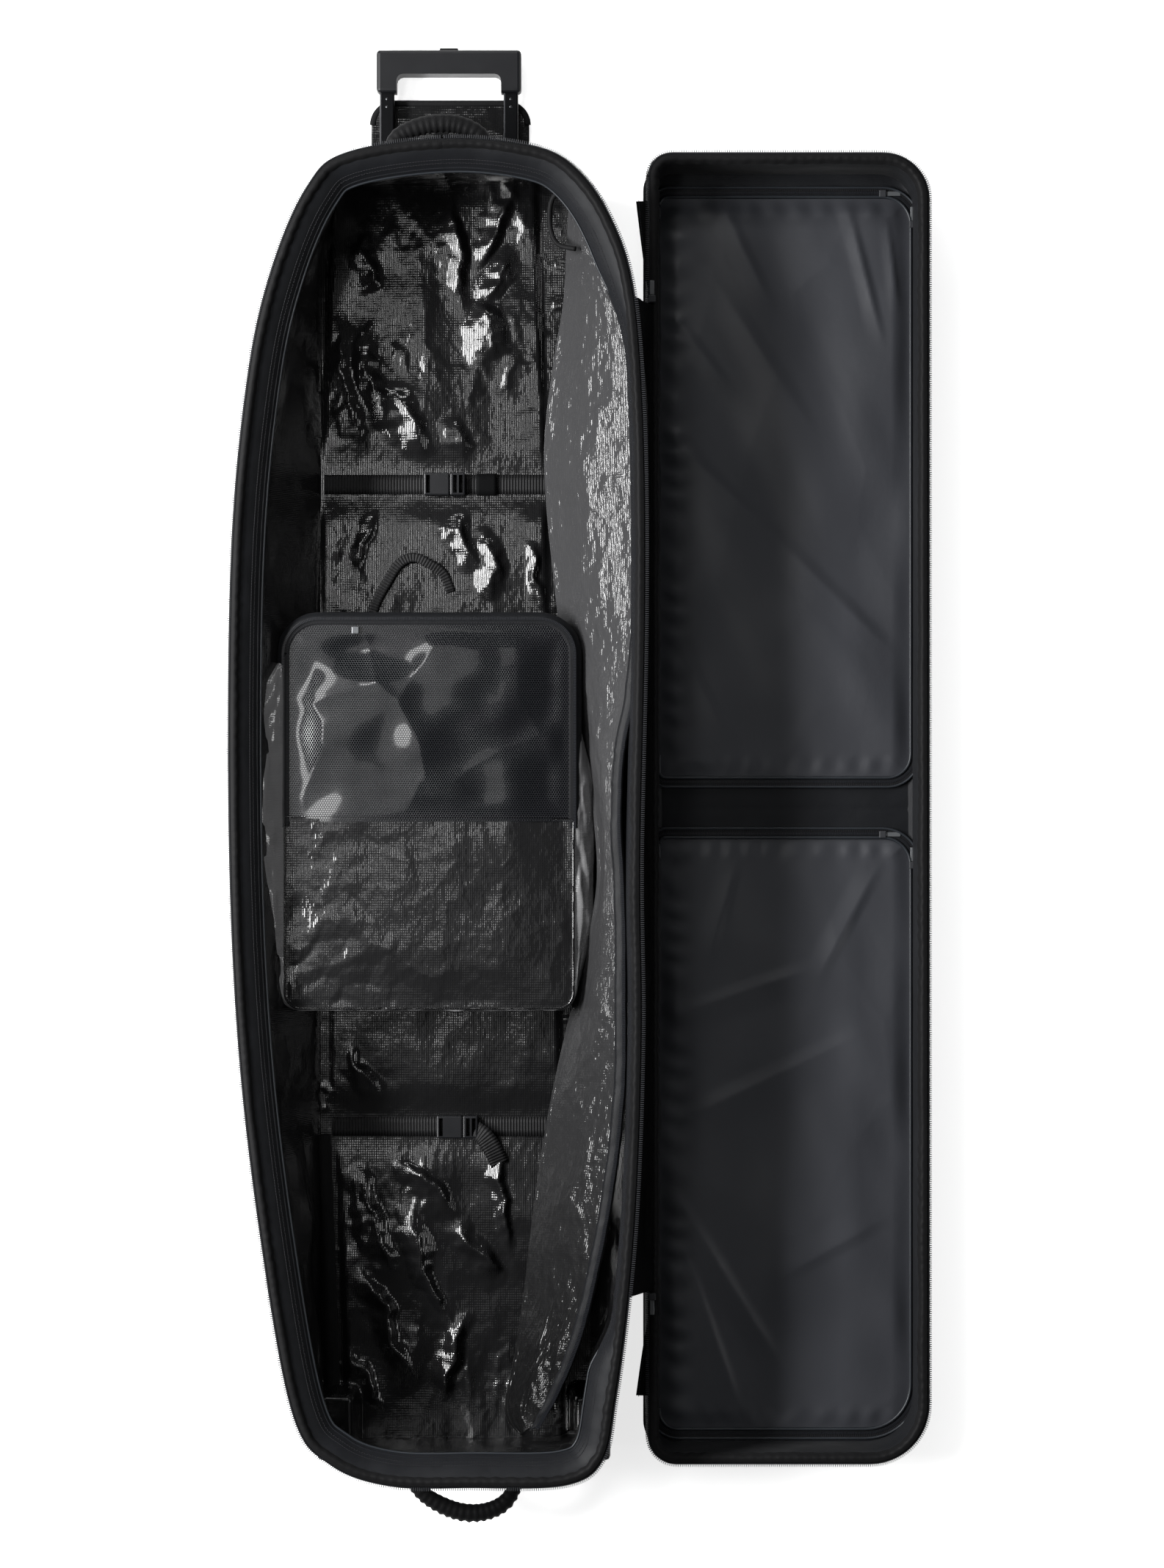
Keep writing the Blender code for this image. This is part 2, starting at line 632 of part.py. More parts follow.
# ---------------------------------------------------------------- lid
def make_lid():
    radii = [0.030, 0.058, 0.075, 0.036]
    outline = rounded_rectangle(LID_LEFT, LID_BOTTOM, LID_RIGHT, LID_TOP, radii)
    bm = bmesh.new()
    bottom = [bm.verts.new((x, y, 0)) for x, y in outline]
    top = [bm.verts.new((x, y, LID_DEPTH)) for x, y in outline]
    bm.faces.new(bottom)
    count = len(outline)
    for i in range(count):
        after = (i + 1) % count
        bm.faces.new((bottom[after], bottom[i], top[i], top[after]))
    mesh = bpy.data.meshes.new("lid_shell")
    bm.to_mesh(mesh)
    bm.free()
    shell = add_object("lid_shell", mesh, "shell_fabric")
    solid = shell.modifiers.new("thickness", "SOLIDIFY")
    solid.thickness, solid.offset, solid.use_even_offset = LID_THICK, -1.0, True

    def grown(by):
        return rounded_rectangle(
            LID_LEFT - by, LID_BOTTOM - by, LID_RIGHT + by, LID_TOP + by, [r + by for r in radii]
        )

    plate("lid_zip", [grown(0.003), grown(-0.003)], LID_DEPTH + GAP, LID_DEPTH + GAP + ZIP_HEIGHT, "zip")
    low, high = POCKET_Z, POCKET_Z + POCKET_THICK
    left, right = LID_LEFT + LID_THICK + 0.003, LID_RIGHT - LID_THICK - 0.003
    band_low, band_high = -0.0745, -0.0105
    upper = rounded_rectangle(
        left, band_high + GAP, right, LID_TOP - LID_THICK - 0.003, [0.024, 0.050, 0.003, 0.003]
    )
    lower = rounded_rectangle(
        left, LID_BOTTOM + LID_THICK + 0.003, right, band_low - GAP, [0.003, 0.003, 0.068, 0.030]
    )
    plate("pocket_upper", [upper], low, high, "pocket_nylon")
    plate("pocket_lower", [lower], low, high, "pocket_nylon")
    box("pocket_band", (left, band_low, low), (right, band_high, high), "shell_fabric")
    box(
        "hinge_gusset", (0.0803, OPENING_BOTTOM + 0.02, LID_DEPTH + ZIP_HEIGHT + 0.0012),
        (0.0815, OPENING_TOP - 0.02, 0.190), "shell_fabric",
    )


# ---------------------------------------------------------------- zip sliders
SLIDER_HALF, SLIDER_HEIGHT = 0.0045, 0.006
PULL_LENGTH, PULL_HALF, PULL_THICK = 0.018, 0.0028, 0.0018


def make_slider(name, place, direction):
    """A zip slider with its base at place, and a pull tab that points along direction from its far edge."""
    x, y, z = place
    box(
        f"{name}_slider", (x - SLIDER_HALF, y - SLIDER_HALF, z),
        (x + SLIDER_HALF, y + SLIDER_HALF, z + SLIDER_HEIGHT), "zip", 0.001,
    )
    along = Vector(direction)
    across = Vector((abs(along.y), abs(along.x)))
    middle = Vector((x, y)) + along * (SLIDER_HALF + GAP + PULL_LENGTH / 2)
    reach = Vector((abs(along.x), abs(along.y))) * PULL_LENGTH / 2 + across * PULL_HALF
    low_z = z + 0.0022
    box(
        f"{name}_pull", (middle.x - reach.x, middle.y - reach.y, low_z),
        (middle.x + reach.x, middle.y + reach.y, low_z + PULL_THICK), "zip", 0.0006,
    )


def make_sliders():
    pocket_top = POCKET_Z + POCKET_THICK + GAP
    rim_top = LID_DEPTH + ZIP_HEIGHT + 2 * GAP
    make_slider("main_upper", (LID_LEFT + 0.005, OPENING_TOP, rim_top), (0, 1))
    make_slider("main_lower", (LID_LEFT + 0.005, OPENING_BOTTOM, rim_top), (0, -1))
    make_slider("pocket_upper_across", (0.385, 0.7505, pocket_top), (1, 0))
    make_slider("pocket_upper_down", (0.4235, 0.7110, pocket_top), (0, 1))
    make_slider("pocket_lower_across", (0.385, -0.0705, pocket_top), (1, 0))
    make_slider("pocket_lower_down", (0.4235, -0.1100, pocket_top), (0, 1))


clear_scene()
MATERIALS = make_materials()
PARTS = new_collection("snowboard_bag")
CUTTERS = new_collection("cutters", hidden=True)
make_tub()
make_wheels()
make_trolley()
make_end_pieces()
make_strap("upper", UPPER_STRAP_Y, -0.2025, -0.330, 0.000)
make_strap("lower", LOWER_STRAP_Y, -0.186, -0.320, 0.000)
make_divider()
make_pouch()
make_lid()
make_sliders()
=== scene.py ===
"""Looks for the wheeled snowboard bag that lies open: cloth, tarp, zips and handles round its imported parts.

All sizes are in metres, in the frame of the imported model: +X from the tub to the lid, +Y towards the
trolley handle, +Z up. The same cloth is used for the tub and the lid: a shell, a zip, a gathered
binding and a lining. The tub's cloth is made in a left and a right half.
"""

import math

import bmesh
import bpy
import numpy as np
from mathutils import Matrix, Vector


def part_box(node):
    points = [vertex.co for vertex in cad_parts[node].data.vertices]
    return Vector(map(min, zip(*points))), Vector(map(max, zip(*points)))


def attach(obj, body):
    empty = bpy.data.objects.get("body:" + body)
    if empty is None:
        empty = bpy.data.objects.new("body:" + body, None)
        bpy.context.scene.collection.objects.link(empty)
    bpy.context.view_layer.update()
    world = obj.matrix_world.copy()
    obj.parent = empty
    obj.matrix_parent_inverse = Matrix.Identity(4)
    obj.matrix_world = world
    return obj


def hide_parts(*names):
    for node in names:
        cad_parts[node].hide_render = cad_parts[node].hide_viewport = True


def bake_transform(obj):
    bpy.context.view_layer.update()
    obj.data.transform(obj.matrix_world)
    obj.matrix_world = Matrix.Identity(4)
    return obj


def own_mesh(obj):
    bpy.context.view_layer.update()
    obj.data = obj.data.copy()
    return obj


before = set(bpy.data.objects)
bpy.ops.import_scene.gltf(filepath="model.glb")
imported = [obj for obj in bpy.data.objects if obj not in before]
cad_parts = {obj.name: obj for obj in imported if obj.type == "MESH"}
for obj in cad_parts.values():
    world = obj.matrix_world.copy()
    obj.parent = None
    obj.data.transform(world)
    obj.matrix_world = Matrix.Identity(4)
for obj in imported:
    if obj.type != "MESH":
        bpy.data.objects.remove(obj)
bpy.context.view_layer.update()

# ---------------------------------------------------------------- driving dimensions
CAMERA_HEIGHT = 4.0
CAMERA_Y = -0.0059
VIEW_ANGLE = math.radians(28.47)  # across the picture's long side

FLOOR_LOW, FLOOR_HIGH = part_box("floor_liner")
FLOOR_TOP_Z = FLOOR_HIGH.z
FLOOR_CORNER = 0.060
PIVOT_Z = 0.020  # height at which the walls bend from the floor
WALL_LENGTH = 0.193
WALL_FOOT = 0.008  # how far the walls' foot lies outside the floor liner

# The rim of the open tub, clockwise from the middle of the handle end, as the part has it.
RIM_POINTS = [
    (-0.168, 0.787), (-0.065, 0.778), (-0.010, 0.752), (0.035, 0.690), (0.064, 0.600),
    (0.077, 0.430), (0.079, 0.200), (0.073, -0.100), (0.075, -0.305), (0.069, -0.500),
    (0.058, -0.640), (0.042, -0.760), (0.026, -0.835), (-0.020, -0.866), (-0.134, -0.869),
    (-0.235, -0.867), (-0.308, -0.841), (-0.354, -0.781), (-0.392, -0.584), (-0.423, -0.335),
    (-0.436, -0.060), (-0.433, 0.277), (-0.411, 0.500), (-0.380, 0.630), (-0.337, 0.727),
    (-0.290, 0.768),
]
MIDDLE_X = -0.171  # where the tub's left and right halves meet

CLOTH_STEP = 0.0035  # spacing of the points along the bands of cloth
BINDING_WIDTH, BINDING_RISE = 0.0110, 0.0042
COLLAR_WIDTH, COLLAR_DROP = 0.037, 0.022
COLLAR_START = 0.0115
TAPE_PROFILE = [(-0.0004, -0.0016), (0.0004, -0.0004), (0.0025, -0.0004), (0.0045, -0.0010)]
TOOTH_PITCH = 0.0026
STITCH_PITCH, STITCH_LENGTH = 0.0034, 0.0022

LID_LOW, LID_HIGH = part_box("lid_shell")
LID_RADII = (0.030, 0.058, 0.075, 0.036)  # top left, top right, bottom right, bottom left
POCKET_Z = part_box("pocket_upper")[1].z


# ---------------------------------------------------------------- numbers for cloth
def smoothstep(low, high, value):
    share = np.clip((np.asarray(value, float) - low) / (high - low), 0, 1)
    return share * share * (3 - 2 * share)


def gradient_noise(x, y, seed):
    """Smooth noise from about -0.7 to 0.7, one feature to a unit."""
    angles = np.random.default_rng(seed).random((64, 64)) * 2 * np.pi
    x, y = np.broadcast_arrays(np.asarray(x, float), np.asarray(y, float))
    cell_x, cell_y = np.floor(x).astype(int), np.floor(y).astype(int)
    in_x, in_y = x - cell_x, y - cell_y

    def corner(dx, dy):
        angle = angles[(cell_x + dx) % 64, (cell_y + dy) % 64]
        return np.cos(angle) * (in_x - dx) + np.sin(angle) * (in_y - dy)

    fade_x = in_x**3 * (in_x * (in_x * 6 - 15) + 10)
    fade_y = in_y**3 * (in_y * (in_y * 6 - 15) + 10)
    low = corner(0, 0) * (1 - fade_x) + corner(1, 0) * fade_x
    high = corner(0, 1) * (1 - fade_x) + corner(1, 1) * fade_x
    return low * (1 - fade_y) + high * fade_y


def soft_noise(x, y, size, seed, octaves=3):
    """Rolling hills, the largest size across, from about -1 to 1."""
    total = 0.0
    for octave in range(octaves):
        scale = 2**octave / size
        total = total + gradient_noise(x * scale, y * scale, seed + octave) / 2**octave
    return total * 1.1


def nearest_cell(x, y, seed):
    """The distance to the nearest of the points that are scattered one to a unit square."""
    jitter = np.random.default_rng(seed).random((64, 64, 2))
    cell_x, cell_y = np.floor(x).astype(int), np.floor(y).astype(int)
    nearest = np.full(np.shape(x), 9.0)
    for dx in (-1, 0, 1):
        for dy in (-1, 0, 1):
            at_x, at_y = cell_x + dx, cell_y + dy
            offset = jitter[at_x % 64, at_y % 64]
            distance = np.hypot(at_x + offset[..., 0] - x, at_y + offset[..., 1] - y)
            nearest = np.minimum(nearest, distance)
    return nearest


def crumple(x, y, size, seed, octaves=2, stretch=(1.0, 1.0)):
    """Sharp creases between smooth facets, as in crumpled tarp, from about -0.5 to 0.5."""
    x, y = x / stretch[0], y / stretch[1]
    bend_x = x + 0.45 * size * gradient_noise(x / size / 1.3, y / size / 1.3, seed + 50)
    bend_y = y + 0.45 * size * gradient_noise(x / size / 1.3, y / size / 1.3, seed + 51)
    total = 0.0
    for octave in range(octaves):
        scale = 2.1**octave / size
        nearest = nearest_cell(bend_x * scale, bend_y * scale, seed + octave)
        sign = -1 if octave % 2 else 1
        total = total + sign * (nearest**2 - 0.25) / 2.0**octave
    return total


def fold(x, y, start, end, width, height):
    """One ridge of cloth from start to end, gentle on one side, steep on the other, fading at its ends."""
    start, end = np.array(start), np.array(end)
    along = end - start
    length = np.hypot(*along)
    along = along / length
    share = ((x - start[0]) * along[0] + (y - start[1]) * along[1]) / length
    away = (x - start[0]) * -along[1] + (y - start[1]) * along[0]
    taper = smoothstep(-0.1, 0.35, share) * (1 - smoothstep(0.65, 1.1, share))
    gentle = np.maximum(0, 1 + away / width)
    steep = np.maximum(0, 1 - away / (0.45 * width))
    return height * taper * np.minimum(gentle, steep).clip(0, 1) ** 1.3


# ---------------------------------------------------------------- lines in the plan
def smooth_curve(points, steps=8, closed=False):
    """A Catmull-Rom curve through points of any dimension."""
    points = [np.array(p, float) for p in points]
    count = len(points)
    made = []
    for i in range(count if closed else count - 1):
        if closed:
            a, b, c, d = (points[(i + k) % count] for k in (-1, 0, 1, 2))
        else:
            a, b, c, d = (points[min(max(i + k, 0), count - 1)] for k in (-1, 0, 1, 2))
        for step in range(steps):
            t = step / steps
            bend, turn = 2 * a - 5 * b + 4 * c - d, 3 * b - a - 3 * c + d
            made.append((2 * b + (c - a) * t + bend * t**2 + turn * t**3) / 2)
    if not closed:
        made.append(points[-1])
    return np.array(made)


def line_lengths(points):
    """The distance along a line to each of its points."""
    steps = np.linalg.norm(np.diff(points, axis=0), axis=1)
    return np.concatenate([[0.0], np.cumsum(steps)])


def resampled(points, count):
    """The same line with count points spread evenly along it."""
    lengths = line_lengths(points)
    at = np.linspace(0, lengths[-1], count)
    return np.stack([np.interp(at, lengths, points[:, k]) for k in range(points.shape[1])], axis=1)


def paced(points, step):
    return resampled(points, max(3, round(line_lengths(points)[-1] / step) + 1))


def from_its_gap(points):
    """The points of a closed outline that has lost a stretch, starting after the gap."""
    start = np.argmax(np.linalg.norm(np.diff(points, axis=0), axis=1)) + 1
    return np.roll(points, -start, axis=0)


def directions(points):
    """The unit direction of a line at each of its points."""
    along = np.gradient(points, axis=0)
    return along / np.maximum(np.linalg.norm(along, axis=1, keepdims=True), 1e-9)


def inward_of(points):
    """The unit vector to the right of a line in the plan, which is inward on a clockwise outline."""
    along = directions(points[:, :2])
    return np.stack([along[:, 1], -along[:, 0]], axis=1)


def rounded_rectangle(left, bottom, right, top, radii, steps=8):
    """A rectangle's outline, clockwise from its top left corner. Its last point repeats its first."""
    corners = [
        (left, top, 180, radii[0]),
        (right, top, 90, radii[1]),
        (right, bottom, 0, radii[2]),
        (left, bottom, -90, radii[3]),
    ]
    outline = []
    for x, y, start, radius in corners:
        centre_x = x + radius if x == left else x - radius
        centre_y = y + radius if y == bottom else y - radius
        for step in range(steps + 1):
            angle = math.radians(start - 90 * step / steps)
            outline.append((centre_x + radius * math.cos(angle), centre_y + radius * math.sin(angle)))
    outline.append(outline[0])
    return np.array(outline)


def foot_of(points):
    """The nearest points on the outline of the tub's floor, where the walls stand."""
    radius = FLOOR_CORNER
    low = np.array([FLOOR_LOW.x - WALL_FOOT + radius, FLOOR_LOW.y - WALL_FOOT + radius])
    high = np.array([FLOOR_HIGH.x + WALL_FOOT - radius, FLOOR_HIGH.y + WALL_FOOT - radius])
    core = np.clip(points, low, high)
    away = points - core
    return core + away / np.linalg.norm(away, axis=1, keepdims=True) * radius


# ---------------------------------------------------------------- meshes
def mesh_object(name, vertices, faces, material, uv=None, smooth=True):
    """faces is an array, or a list where they have different numbers of corners."""
    if isinstance(faces, np.ndarray):
        faces = faces.tolist()
    mesh = bpy.data.meshes.new(name)
    mesh.from_pydata(np.asarray(vertices).tolist(), [], faces)
    if smooth:
        mesh.shade_smooth()
    if uv is not None:
        layer = mesh.uv_layers.new(name="metres")
        corners = np.empty(len(mesh.loops), int)
        mesh.loops.foreach_get("vertex_index", corners)
        layer.data.foreach_set("uv", np.asarray(uv, np.float32)[corners].ravel())
    mesh.materials.append(material)
    mesh.update()
    obj = bpy.data.objects.new(name, mesh)
    bpy.context.scene.collection.objects.link(obj)
    return obj


def grid_faces(rows, columns, wrap=False):
    index = np.arange(rows * columns).reshape(rows, columns)
    if wrap:
        index = np.concatenate([index, index[:, :1]], axis=1)
    faces = np.stack([index[:-1, :-1], index[:-1, 1:], index[1:, 1:], index[1:, :-1]], axis=-1)
    return faces.reshape(-1, 4)


def grid_lengths(points):
    """For each point of a grid, how far it is along its row and along its column."""
    across = np.linalg.norm(np.diff(points, axis=1), axis=2).mean(axis=0)
    down = np.linalg.norm(np.diff(points, axis=0), axis=2).mean(axis=1)
    u = np.concatenate([[0.0], np.cumsum(across)])
    v = np.concatenate([[0.0], np.cumsum(down)])
    return np.stack(np.meshgrid(u, v), axis=-1)


def cloth_grid(name, points, material, flip=False, uv=None):
    """A sheet through a grid of points, with its texture laid out in metres along the grid."""
    rows, columns = points.shape[:2]
    faces = grid_faces(rows, columns)
    if flip:
        faces = faces[:, ::-1]
    uv = grid_lengths(points) if uv is None else uv
    return mesh_object(name, points.reshape(-1, 3), faces, material, uv.reshape(-1, 2))


def plan_grid(name, x, y, z, material):
    """A sheet that lies roughly level, with its texture laid out over the plan."""
    return cloth_grid(name, np.stack([x, y, z], axis=-1), material, uv=np.stack([x, y], axis=-1))


def grid_normals(points):
    """The unit normals of a grid of points."""
    normal = np.cross(np.gradient(points, axis=1), np.gradient(points, axis=0))
    return normal / np.maximum(np.linalg.norm(normal, axis=2, keepdims=True), 1e-12)


def tube_mesh(name, path, radii, material, sides=10, squeeze=1.0, capped=True):
    """A tube along a path of 3-D points. squeeze scales its height."""
    path = np.asarray(path, float)
    along = directions(path)
    up = np.tile([0.0, 0.0, 1.0], (len(path), 1))
    side = np.cross(along, up)
    side /= np.maximum(np.linalg.norm(side, axis=1, keepdims=True), 1e-9)
    top = np.cross(side, along)
    angle = np.linspace(0, 2 * np.pi, sides, endpoint=False)
    radii = np.broadcast_to(radii, (len(path), sides))
    ring = (
        path[:, None, :]
        + radii[..., None] * np.cos(angle)[None, :, None] * side[:, None, :]
        + radii[..., None] * squeeze * np.sin(angle)[None, :, None] * top[:, None, :]
    )
    faces = grid_faces(len(path), sides, wrap=True)[:, ::-1].tolist()
    if capped:
        faces.append(list(range(sides)))
        faces.append([len(path) * sides - 1 - k for k in range(sides)])
    run = line_lengths(path)
    uv = np.stack(np.meshgrid(np.arange(sides) / sides * 0.02, run), axis=-1).reshape(-1, 2)
    return mesh_object(name, ring.reshape(-1, 3), faces, material, uv)


BLOCK_CORNERS = np.array([[x, y, z] for z in (-0.5, 0.5) for y in (-0.5, 0.5) for x in (-0.5, 0.5)])
BLOCK_FACES = np.array([[0, 2, 3, 1], [4, 5, 7, 6], [0, 1, 5, 4], [2, 6, 7, 3], [0, 4, 6, 2], [1, 3, 7, 5]])


def blocks(name, places, along, size, material, taper=1.0):
    """Many small blocks, such as zip teeth or stitches, each turned to its own direction in the plan.
    size is along, across and up, and taper narrows the far side of each."""
    places = np.asarray(places, float)
    along = np.asarray(along, float)
    if along.shape[1] == 2:
        along = np.concatenate([along, np.zeros((len(along), 1))], axis=1)
    up = np.tile([0.0, 0.0, 1.0], (len(along), 1))
    across = np.cross(up, along)
    across /= np.maximum(np.linalg.norm(across, axis=1, keepdims=True), 1e-9)
    top = np.cross(along, across)
    shape = BLOCK_CORNERS.copy()
    shape[shape[:, 1] > 0, 0] *= taper
    corners = (
        places[:, None, :]
        + shape[None, :, 0, None] * size[0] * along[:, None, :]
        + shape[None, :, 1, None] * size[1] * across[:, None, :]
        + shape[None, :, 2, None] * size[2] * top[:, None, :]
    )
    faces = BLOCK_FACES[None] + 8 * np.arange(len(places))[:, None, None]
    return mesh_object(name, corners.reshape(-1, 3), faces.reshape(-1, 4), material, smooth=False)


def stitches(name, path, material, pitch=STITCH_PITCH, size=(STITCH_LENGTH, 0.0007, 0.0005), slant=0.0):
    """A row of stitches on a 3-D path. slant turns them to and fro, as in a zigzag seam."""
    path = paced(path, pitch)
    along = directions(path)
    if slant:
        sign = np.where(np.arange(len(path)) % 2, 1, -1) * slant
        turned = along.copy()
        turned[:, 0] = along[:, 0] * np.cos(sign) - along[:, 1] * np.sin(sign)
        turned[:, 1] = along[:, 0] * np.sin(sign) + along[:, 1] * np.cos(sign)
        along = turned
    return blocks(name, path, along, size, material)


def thicken(obj, thickness, offset=-1.0):
    solid = obj.modifiers.new("thickness", "SOLIDIFY")
    solid.thickness, solid.offset = thickness, offset
    solid.use_rim = True
    return obj


# ---------------------------------------------------------------- materials
class Look:
    """A Principled material that is put together from patterns."""

    def __init__(self, name, base, roughness, metallic=0.0, sheen=0.0, coat=0.0, specular=0.5):
        self.material = bpy.data.materials.new(name)
        self.material.use_nodes = True
        self.tree = self.material.node_tree
        self.shader = self.tree.nodes["Principled BSDF"]
        self.shader.inputs["Base Color"].default_value = (*base, 1)
        self.shader.inputs["Roughness"].default_value = roughness
        self.shader.inputs["Metallic"].default_value = metallic
        self.shader.inputs["Specular IOR Level"].default_value = specular
        self.shader.inputs["Sheen Weight"].default_value = sheen
        self.shader.inputs["Sheen Roughness"].default_value = 0.4
        self.shader.inputs["Coat Weight"].default_value = coat
        self.shader.inputs["Coat Roughness"].default_value = 0.12
        self.base, self.roughness = base, roughness
        self.height = None

    def node(self, kind, **settings):
        made = self.tree.nodes.new(kind)
        for key, value in settings.items():
            setattr(made, key, value)
        return made

    def math(self, operation, first, second=0.0, third=0.0):
        made = self.node("ShaderNodeMath", operation=operation)
        for socket, value in zip(made.inputs, (first, second, third)):
            if isinstance(value, (int, float)):
                socket.default_value = value
            else:
                self.tree.links.new(value, socket)
        return made.outputs[0]

    def place(self, kind="UV"):
        return self.node("ShaderNodeTexCoord").outputs[kind]

    def axes(self, kind="UV"):
        split = self.node("ShaderNodeSeparateXYZ")
        self.tree.links.new(self.place(kind), split.inputs[0])
        return split.outputs

    def wave(self, axis, pitch):
        """A smooth wave from 0 to 1, one period to each pitch."""
        turns = self.math("MULTIPLY", axis, 2 * math.pi / pitch)
        return self.math("MULTIPLY_ADD", self.math("SINE", turns), 0.5, 0.5)

    def noise(self, size, kind="Object", detail=3.0, stretch=(1, 1, 1)):
        mapping = self.node("ShaderNodeMapping")
        mapping.inputs["Scale"].default_value = stretch
        self.tree.links.new(self.place(kind), mapping.inputs[0])
        made = self.node("ShaderNodeTexNoise")
        made.inputs["Scale"].default_value = 1 / size
        made.inputs["Detail"].default_value = detail
        self.tree.links.new(mapping.outputs[0], made.inputs["Vector"])
        return made.outputs[0]

    def raise_by(self, pattern, height):
        """Adds a pattern to the bumps, height being what its 0 to 1 stands for."""
        scaled = self.math("MULTIPLY", pattern, height)
        self.height = scaled if self.height is None else self.math("ADD", self.height, scaled)

    def vary(self, pattern, low, high):
        """Mixes the base colour between low and high times itself."""
        mix = self.node("ShaderNodeMix", data_type="RGBA")
        mix.inputs["A"].default_value = (*(c * low for c in self.base), 1)
        mix.inputs["B"].default_value = (*(c * high for c in self.base), 1)
        self.tree.links.new(pattern, mix.inputs["Factor"])
        self.tree.links.new(mix.outputs["Result"], self.shader.inputs["Base Color"])

    def roughen(self, pattern, low, high):
        spread = self.node("ShaderNodeMapRange")
        spread.inputs["To Min"].default_value = low
        spread.inputs["To Max"].default_value = high
        self.tree.links.new(pattern, spread.inputs["Value"])
        self.tree.links.new(spread.outputs[0], self.shader.inputs["Roughness"])

    def done(self):
        if self.height is not None:
            bump = self.node("ShaderNodeBump")
            bump.inputs["Strength"].default_value = 1.0
            bump.inputs["Distance"].default_value = 1.0
            self.tree.links.new(self.height, bump.inputs["Height"])
            self.tree.links.new(bump.outputs[0], self.shader.inputs["Normal"])
            self.tree.links.new(bump.outputs[0], self.shader.inputs["Coat Normal"])
        return self.material


def woven(name, base, roughness, pitch=0.0011, depth=0.00006, sheen=0.03, specular=0.12):
    """Plain-woven cloth, laid out along its texture's metres."""
    look = Look(name, base, roughness, sheen=sheen, specular=specular)
    u, v, _ = look.axes()
    threads = look.math("MULTIPLY", look.wave(u, pitch), look.wave(v, pitch))
    look.raise_by(threads, depth)
    look.raise_by(look.noise(0.02), 0.0006)
    look.vary(look.noise(0.05), 0.75, 1.3)
    return look.done()


def tarp(name, base, roughness=0.42, crinkle=0.00024, painted_shade_span=None, coat=1.0):
    """Coated tarpaulin: ribbed weave under a glossy film that is finely creased. A shade span, if given,
    holds two heights along Y, from which and to which the base colour grows paler: painted shade, darker
    towards -Y."""
    look = Look(name, base, roughness, coat=coat, specular=0.05)
    look.shader.inputs["Coat Roughness"].default_value = 0.07
    u, v, _ = look.axes()
    look.raise_by(look.wave(u, 0.0023), 0.00011)
    look.raise_by(look.wave(v, 0.0031), 0.00005)
    for scale, height in ((60, crinkle), (150, crinkle * 0.9), (330, crinkle * 0.35)):
        mapping = look.node("ShaderNodeMapping")
        mapping.inputs["Scale"].default_value = (1, 0.55, 1)
        look.tree.links.new(look.place(), mapping.inputs[0])
        cells = look.node("ShaderNodeTexVoronoi", feature="F1")
        cells.inputs["Scale"].default_value = scale
        look.tree.links.new(mapping.outputs[0], cells.inputs["Vector"])
        look.raise_by(cells.outputs["Distance"], height)
    look.raise_by(look.noise(0.03, "UV", 2.0), 0.0012)
    look.roughen(look.noise(0.06, "UV"), roughness * 0.8, roughness * 1.3)
    # Painted shade: with a span, the base colour darkens along Y towards the lower of its two heights.
    if painted_shade_span:
        spread = look.node("ShaderNodeMapRange")
        spread.inputs["From Min"].default_value, spread.inputs["From Max"].default_value = painted_shade_span
        look.tree.links.new(look.axes("Object")[1], spread.inputs["Value"])
        look.vary(spread.outputs[0], 0.12, 1.20)
    else:
        look.vary(look.noise(0.1, "UV"), 0.7, 1.3)
    return look.done()


def moulded(name, base, roughness, metallic=0.0, grain=0.00003, size=0.0008, specular=0.5):
    look = Look(name, base, roughness, metallic=metallic, specular=specular)
    look.raise_by(look.noise(size), grain)
    look.roughen(look.noise(0.02), roughness * 0.85, roughness * 1.2)
    look.vary(look.noise(0.03), 0.85, 1.15)
    return look.done()


def brushed(name, base, roughness):
    look = Look(name, base, roughness, metallic=0.9)
    look.raise_by(look.noise(0.002, stretch=(1, 0.02, 1)), 0.00002)
    look.roughen(look.noise(0.01, stretch=(1, 0.05, 1)), roughness * 0.8, roughness * 1.3)
    look.vary(look.noise(0.03), 0.85, 1.15)
    return look.done()


def satin_nylon(name, base):
    look = Look(name, base, 0.46, sheen=0.05, specular=0.35)
    u, v, _ = look.axes()
    slant = look.math("ADD", u, v)
    look.raise_by(look.wave(slant, 0.0009), 0.00002)
    look.raise_by(look.noise(0.012, "UV"), 0.00025)
    look.vary(look.noise(0.14, "UV"), 0.85, 1.15)
    return look.done()


def webbing_look(name, base):
    """Flat webbing with ribs across it. Its length runs along v."""
    look = Look(name, base, 0.55, sheen=0.0, specular=0.15)
    u, v, _ = look.axes()
    look.raise_by(look.wave(v, 0.0038), 0.0005)
    look.raise_by(look.wave(u, 0.0016), 0.00008)
    # The base colour follows the ribs, darker in the grooves and paler on the ribs: painted shade and painted
    # highlight.
    look.vary(look.wave(v, 0.0038), 0.4, 2.2)
    return look.done()


